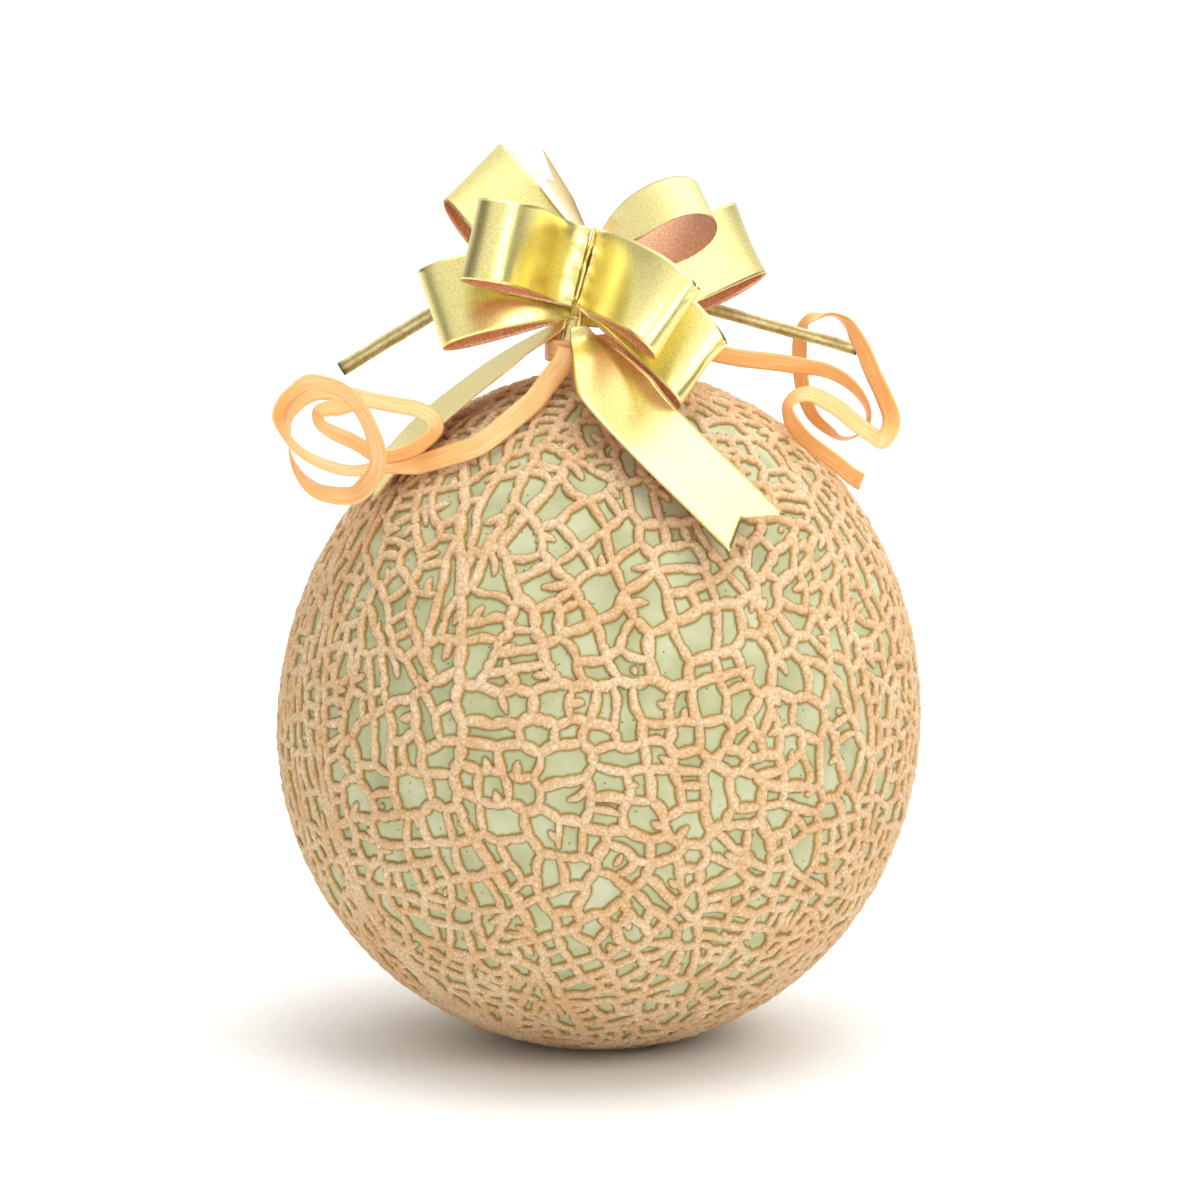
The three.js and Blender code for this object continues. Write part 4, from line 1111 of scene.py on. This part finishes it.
def tail_route(melon, route, root_across, end_across=None):
    """Centres, width directions and shares of full width of one tail, in metres."""
    points = evenly(smooth_route(route, 12), TAIL_STEPS) * MM
    points = clear_of_melon(melon, points, TAIL_CLEARANCE * MM)
    ways = headings(points)
    blend = np.clip(np.linspace(0, 1, TAIL_STEPS + 1) / TAIL_GATHERED, 0, 1)[:, None]
    if end_across:
        last = np.tile(unit(vec(*end_across)), (len(points), 1))
    else:
        last = unit(np.cross(points - vec(0, 0, melon.centre_height), ways))
    across = unit(unit(vec(*root_across)) * (1 - blend) + last * blend)
    return points, across, TAIL_ROOT_SHARE + (1 - TAIL_ROOT_SHARE) * blend[:, 0]


CURL_LEFT = [
    (-7.6, -19.2, 168.5, 80), (-8.5, -21.5, 165.5, 85), (-12, -25, 161, 85),
    (-19.5, -32, 152, 80), (-27, -36, 146, 70), (-34.5, -34, 143.5, 60),
    (-43, -30, 142, 45), (-50, -28, 141.5, 30), (-57.5, -28, 140.5, 22),
    (-64, -28, 142, 22), (-69.5, -28, 145, 16), (-72.5, -28.5, 148.5, 14),
    (-74, -30, 153.5, 35), (-72, -33, 158, 36), (-69, -35, 160.5, 38),
    (-66, -38, 162, 45), (-61.5, -41, 161.5, 45), (-58, -43, 160, 45),
    (-55, -44, 157, 45), (-52.5, -44.5, 152.5, 45), (-51, -44, 147.5, 55),
    (-51, -42, 143, 48), (-53, -40, 139, 48), (-56.5, -37, 136, 48),
    (-61, -34, 135.5, 40), (-66, -30, 136.5, 28), (-70, -26, 140, 10),
    (-72, -23.5, 144, 0), (-72.5, -22, 148, -13), (-72.5, -21, 152, -22),
    (-70.5, -21, 155.5, -37), (-67, -22, 158, -45), (-63.5, -23, 158.5, -42),
    (-59, -25, 158, -40), (-54, -27, 157, -38), (-47.5, -29, 156, -38),
    (-42, -30.5, 155, -38), (-38.5, -32, 153, -36), (-38, -33.5, 150.5, -38),
    (-41, -34.5, 147.5, -42), (-44.5, -35, 145.5, -43), (-48.5, -35, 144.5, -43),
    (-52, -35, 145, -44), (-55, -34.5, 147, -46), (-58, -34, 148.5, -48),
    (-61.5, -33.5, 150, -44), (-64.5, -33, 152, -36), (-65, -33, 154.5, -33),
    (-63, -33.5, 155.5, -38), (-60, -34.5, 156, -42), (-57, -35.5, 157, -42),
    (-54.5, -36, 158, -42),
]
CURL_RIGHT = [
    (-0.6, -9, 168.5, 60), (4, -9, 168.8, 60), (9.5, -8, 168, 58), (23.5, -5, 166.5, 57),
    (33, -2, 164.5, 57), (43, 2, 163, 57), (48, 4, 162, 55), (53.5, 5, 161, 45),
    (58.5, 6, 158.5, 37), (62, 7.5, 155, 25), (64, 10, 151, 14), (64, 13, 147.5, 4),
    (62, 16, 144.5, -6), (59, 18.5, 143.5, -15), (55.5, 21, 145, -28), (52, 23, 148, -35),
    (50, 24.5, 152, -40), (49, 25, 156.5, -42), (48.5, 25, 161.5, -42), (48.5, 24.5, 166, -40),
    (49, 23.5, 169, -30), (50.5, 21.5, 171.5, -18), (53, 19, 172.5, -6), (56, 16, 173, 8),
    (59, 12.5, 171.5, 22), (61, 9, 169, 34), (63, 6, 165.5, 42), (65, 2, 160.5, 45),
    (67.5, -1, 155, 48), (69, -3.5, 150.5, 50), (68.5, -5.5, 147.5, 46), (66.5, -7, 145.5, 44),
    (64, -8, 147, 46), (60.5, -8, 149.5, 48), (57, -8, 152.5, 48), (53, -8, 155, 48),
    (49.5, -8, 156.5, 42), (46.5, -8, 156, 34), (44.5, -8.5, 154, 25), (44.5, -10, 151.5, 27),
    (46, -14, 149, 37), (48.5, -18, 146.5, 42), (52, -21, 144, 45), (55.5, -23, 141.5, 48),
    (58.5, -24, 139, 52), (61, -25, 137.5, 54),
]
CURL_CLEARANCE = 3.9


def curl_route(melon, stations):
    """Centres and width directions of one length of curling ribbon, in metres."""
    steps = 7
    route = smooth_route([station[:3] for station in stations], steps) * MM
    route = clear_of_melon(melon, route, CURL_CLEARANCE * MM)
    ways = headings(route)
    places = np.arange(len(route)) / steps
    rolls = np.radians(np.interp(places, np.arange(len(stations)), [s[3] for s in stations]))
    depth = vec(0, 1, 0)
    right = unit(np.cross(depth, ways))
    across = depth * np.cos(rolls)[:, None] + right * np.sin(rolls)[:, None]
    return route, across


# The tie: a little over one turn of the same ribbon round the stalk and the foot of the bow's pinch

TIE_CENTRE = vec(-7.6, -0.9, 167.5)
TIE_REACH = (5.2, 17)
TIE_SQUARENESS = 4


def tie_route():
    angles = np.linspace(-0.3, 2 * math.pi + 0.5, 150)
    cos, sin = np.cos(angles), np.sin(angles)
    reach = (cos**TIE_SQUARENESS + sin**TIE_SQUARENESS) ** (-1 / TIE_SQUARENESS)
    grown = 0.35 * angles / (2 * math.pi)
    return TIE_CENTRE + np.stack([(TIE_REACH[0] + grown) * reach * cos,
                                  (TIE_REACH[1] + grown) * reach * sin, 0 * angles], axis=1)


# Operators, one for each piece or group of like pieces

def shared_material(name, maker, settings):
    return bpy.data.materials.get(name) or maker(settings)


def ribbon_films(bow):
    """The bow ribbon's metal side and its back."""
    return [shared_material("gold_metallised_film", gold_foil_material, bow),
            shared_material("copper_lacquered_film_back", copper_back_material, bow)]


def pinch_crumple(points):
    """Foil creased along the pinch: a movement towards the front that fades away from it."""
    local = points / MM - PINCH_CENTRE
    away = np.abs(local @ PINCH_SIDE)
    pleats = np.stack([local @ PINCH_UP, local @ PINCH_SIDE * 0.3, local @ PINCH_FRONT * 0.2],
                      axis=1)
    fine = ripples(pleats, 3.4, 21) + 0.6 * ripples(pleats, 1.9, 22)
    fade = np.exp(-(away / CRUMPLE_REACH_MM) ** 2)
    return (fine * fade * CRUMPLE_MM * MM)[:, None] * PINCH_FRONT


class MELON_OT_rind(bpy.types.Operator):
    """Builds the melon's netted rind"""
    bl_idname = "melon.rind"
    bl_label = "Netted rind"

    def execute(self, context):
        melon = context.scene.netted_melon
        growth = stalk_foot(melon)[1]
        skin = cork_net_material(melon)
        holder = net_points_object(melon, growth)
        carrier = add_object("rind_carrier", bpy.data.meshes.new("rind_carrier"))
        mesh = evaluated_mesh(carrier, rind_tree(), {
            "Net points": holder, "Grid": melon.grid, "Radius": melon.radius,
            "Stretch": melon.stretch, "Taper": melon.taper,
            "Axis": tuple(melon_axis(melon)), "Centre height": melon.centre_height,
            "Net height": melon.net_height, "Wobble": 0.9 * MM, "Skin": skin})
        bpy.data.objects.remove(carrier)
        bpy.data.objects.remove(holder)
        centre = vec(0, 0, melon.centre_height)
        for wedge in cut_into_wedges(mesh, centre, "netted_rind"):
            wedge.materials.append(skin)
            declare(add_object(wedge.name, wedge), "melon")
        return {"FINISHED"}


class MELON_OT_stem(bpy.types.Operator):
    """Builds the stalk and the length of vine across its top"""
    bl_idname = "melon.stem"
    bl_label = "Dry stem"

    def execute(self, context):
        melon = context.scene.netted_melon
        stem = context.scene.melon_stem
        material = dry_vine_material(stem)
        tree = vine_tree()
        foot, growth = stalk_foot(melon)
        route = smooth_route([foot / MM - growth * 1.5, foot / MM + growth * 11, VINE_JOINT], 30)
        radii = np.interp(np.linspace(0, 9, len(route)), np.arange(10), STALK_RADII)
        vine_piece("stalk", route * MM, radii * MM, tree, material, 6, 0.1, 0.9 * MM)
        left_middle = (VINE_LEFT_END + VINE_JOINT) / 2 + VINE_SAG
        right_middle = (VINE_RIGHT_END + VINE_JOINT) / 2 - VINE_SAG
        route = evenly(smooth_route([
            VINE_LEFT_END, left_middle, VINE_LEFT_END * 0.1 + VINE_JOINT * 0.9, VINE_JOINT,
            VINE_RIGHT_END * 0.1 + VINE_JOINT * 0.9, right_middle, VINE_RIGHT_END], 20), 160)
        along = route[:, 0]
        swell = 0.9 * np.exp(-((along - VINE_JOINT[0]) / 5) ** 2)
        right_arm = VINE_RIGHT_END[0] - VINE_JOINT[0]
        thinner = 0.25 * np.clip((along - VINE_JOINT[0]) / right_arm, 0, 1)
        radii = stem.vine_diameter / MM / 2 + swell - thinner
        vine_piece("vine", route * MM, radii * MM, tree, material, 5, 0.13, 0.55 * MM)
        return {"FINISHED"}


class MELON_OT_pinch(bpy.types.Operator):
    """Builds the gathered middle of the bow and its neck"""
    bl_idname = "melon.pinch"
    bl_label = "Bow pinch"

    def execute(self, context):
        gold, copper = ribbon_films(context.scene.melon_bow)
        heights = np.linspace(-PINCH_HALF_HEIGHT - NECK_LENGTH, PINCH_HALF_HEIGHT, PINCH_ROWS)
        count = PINCH_COLUMNS
        angles = np.arange(count) * 2 * math.pi / count
        round_cos, round_sin = (np.sign(wave) * np.abs(wave) ** PINCH_SQUARENESS
                                for wave in (np.cos(angles), np.sin(angles)))
        vertices, faces = [], []
        for height in heights:
            opened = np.clip((height + PINCH_HALF_HEIGHT + 1) / 3, 0, 1)
            opened = opened * opened * (3 - 2 * opened)
            half_depth = NECK_HALF_DEPTH + (PINCH_DEPTH / 2 - 0.2 - NECK_HALF_DEPTH) * opened
            half_width = NECK_HALF_WIDTH + (PINCH_HALF_WIDTH - NECK_HALF_WIDTH) * opened
            section = np.stack([round_cos * half_width, round_sin * half_depth], axis=1)
            ring = (PINCH_CENTRE + PINCH_UP * height + PINCH_SIDE * section[:, :1]
                    + PINCH_FRONT * section[:, 1:])
            pleats = ripples(ring * (1, 1, 0.35), 2.4, 31) * 0.22
            vertices.extend(ring + (round_cos * pleats)[:, None] * PINCH_SIDE)
        for row in range(len(heights) - 1):
            for k in range(count):
                a, b = row * count + k, row * count + (k + 1) % count
                faces.append((a, b, b + count, a + count))
        top = (len(heights) - 1) * count
        faces.append(tuple(range(count))[::-1])
        faces.append(tuple(range(top, top + count)))
        new_piece("bow_pinch_folds", np.array(vertices) * MM, faces, [gold],
                  "bow_pinch")
        return {"FINISHED"}


class MELON_OT_loops(bpy.types.Operator):
    """Builds the seven loops of the bow"""
    bl_idname = "melon.loops"
    bl_label = "Bow loops"

    def execute(self, context):
        bow = context.scene.melon_bow
        films = ribbon_films(bow)
        for name, shape in LOOPS.items():
            centres, widths, share = loop_route(**shape)
            ribbon(f"bow_loop_{name}_film", centres * MM, widths, bow.width, bow.thickness,
                   films, f"bow_loop_{name}", share=share,
                   crumple=pinch_crumple, columns=24)
        return {"FINISHED"}


class MELON_OT_tails(bpy.types.Operator):
    """Builds the three swallow-tailed ends of the bow's ribbon"""
    bl_idname = "melon.tails"
    bl_label = "Bow tails"

    def execute(self, context):
        melon = context.scene.netted_melon
        bow = context.scene.melon_bow
        films = ribbon_films(bow)
        for name, shape in TAILS.items():
            centres, across, share = tail_route(melon, **shape)
            ribbon(f"bow_tail_{name}_film", centres, across, bow.width, bow.thickness, films,
                   f"bow_tail_{name}", share=share,
                   notch=TAIL_NOTCH * MM, columns=16)
        return {"FINISHED"}


class MELON_OT_curls(bpy.types.Operator):
    """Builds the curling ribbon and the tie that it is drawn into"""
    bl_idname = "melon.curls"
    bl_label = "Curling ribbon"

    def execute(self, context):
        melon = context.scene.netted_melon
        curl = context.scene.melon_curl
        film = [shared_material("orange_satin_polypropylene", curling_ribbon_material, curl)]
        for side, stations in (("left", CURL_LEFT), ("right", CURL_RIGHT)):
            centres, across = curl_route(melon, stations)
            ribbon(f"tie_curl_{side}_film", centres, across, curl.width, curl.thickness, film,
                   f"tie_curl_{side}", columns=6)
        route = tie_route()
        upright = np.tile(vec(0, 0, 1), (len(route), 1))
        ribbon("tie_band_film", route * MM, upright, curl.width, curl.thickness, film,
               "tie_band", columns=6)
        return {"FINISHED"}


# A white floor that runs to the horizon, a white tent, two softboxes and one very soft skylight

FLOOR_REACH = 80.0
TENT_STRENGTH = 0.94
SOFTBOXES = (("key_softbox", (0.75, -0.75, 0.75), 0.5, 3.6),
             ("top_softbox", (0.1, -0.2, 1.2), 0.6, 2.6))
SKYLIGHT_STRENGTH = 1.35
SKYLIGHT_SPREAD = math.radians(70)
SKYLIGHT_TURN = (math.radians(-12), math.radians(14), 0)


class MELON_OT_stage(bpy.types.Operator):
    """Adds the floor, the soft lights and the camera"""
    bl_idname = "melon.stage"
    bl_label = "Stage"

    def execute(self, context):
        stage = context.scene.melon_stage
        scene = context.scene
        floor_mesh = bpy.data.meshes.new("floor")
        corners = ((-1, -1), (1, -1), (1, 1), (-1, 1))
        floor_mesh.from_pydata([(FLOOR_REACH * x, FLOOR_REACH * y, 0) for x, y in corners], [],
                               [(0, 1, 2, 3)])
        floor_mesh.materials.append(paper_floor_material())
        add_object("floor", floor_mesh)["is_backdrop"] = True
        world = bpy.data.worlds.new("white_studio")
        world.use_nodes = True
        world.node_tree.nodes.clear()
        add = partial(node, world.node_tree)
        # A white tent that is open to the darker room on both sides
        way = add("ShaderNodeTexCoord", out="Generated")
        sideways = add("ShaderNodeSeparateXYZ", [way], "X")
        across = add(MATHS, [sideways], operation="ABSOLUTE")
        tent = add(RAMP, [across], stops=[(0.0, 1.0), (0.62, 1.0), (0.86, 0.16), (1.0, 0.16)])
        background = add("ShaderNodeBackground", {"Color": tent, "Strength": TENT_STRENGTH})
        add("ShaderNodeOutputWorld", {"Surface": background}, None)
        scene.world = world
        aim = Vector((0, 0, stage.aim_height))
        for name, place, size, power in SOFTBOXES:
            light = bpy.data.lights.new(name, "AREA")
            light.size = size
            light.energy = power
            lamp = add_object(name, light)
            lamp.location = place
            lamp.rotation_euler = (aim - lamp.location).to_track_quat("-Z", "Y").to_euler()
            lamp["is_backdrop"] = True
        sun = bpy.data.lights.new("skylight", "SUN")
        sun.energy = SKYLIGHT_STRENGTH
        sun.angle = SKYLIGHT_SPREAD
        skylight = add_object("skylight", sun)
        skylight.rotation_euler = SKYLIGHT_TURN
        skylight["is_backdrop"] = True
        camera = add_object("camera", bpy.data.cameras.new("camera"))
        elevation = stage.camera_elevation
        camera.location = aim + stage.camera_distance * Vector(
            (0, -math.cos(elevation), math.sin(elevation)))
        camera.rotation_euler = (math.pi / 2 - elevation, 0, 0)
        camera.data.sensor_width = 36
        camera.data.lens = 36 * stage.camera_distance / stage.view_width
        camera.data.clip_start = 0.01
        scene.camera = camera
        scene.view_settings.view_transform = "Standard"
        return {"FINISHED"}


class MELON_PT_panel(bpy.types.Panel):
    """Lists the steps that build the melon"""
    bl_label = "Melon"
    bl_idname = "MELON_PT_panel"
    bl_space_type = "VIEW_3D"
    bl_region_type = "UI"
    bl_category = "Melon"

    def draw(self, context):
        for step in STEPS:
            self.layout.operator(step.bl_idname)


STEPS = (MELON_OT_stage, MELON_OT_curls, MELON_OT_loops, MELON_OT_tails, MELON_OT_pinch,
         MELON_OT_stem, MELON_OT_rind)
SETTINGS = {
    "netted_melon": MelonSettings,
    "melon_bow": BowSettings,
    "melon_curl": CurlSettings,
    "melon_stem": StemSettings,
    "melon_stage": StageSettings,
}


def register():
    for group in (*SETTINGS.values(), *STEPS, MELON_PT_panel):
        bpy.utils.register_class(group)
    for name, group in SETTINGS.items():
        setattr(bpy.types.Scene, name, bpy.props.PointerProperty(type=group))


def unregister():
    for name in SETTINGS:
        delattr(bpy.types.Scene, name)
    for group in reversed((*SETTINGS.values(), *STEPS, MELON_PT_panel)):
        bpy.utils.unregister_class(group)


def main():
    register()
    bpy.ops.melon.stage()
    bpy.ops.melon.curls()
    bpy.ops.melon.loops()
    bpy.ops.melon.tails()
    bpy.ops.melon.pinch()
    bpy.ops.melon.stem()
    bpy.ops.melon.rind()
    boxes = {"cad": cad_box, "visual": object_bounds()}
    {name: [list(corner) for corner in box] for name, box in boxes.items()}


if __name__ == "__main__":
    main()
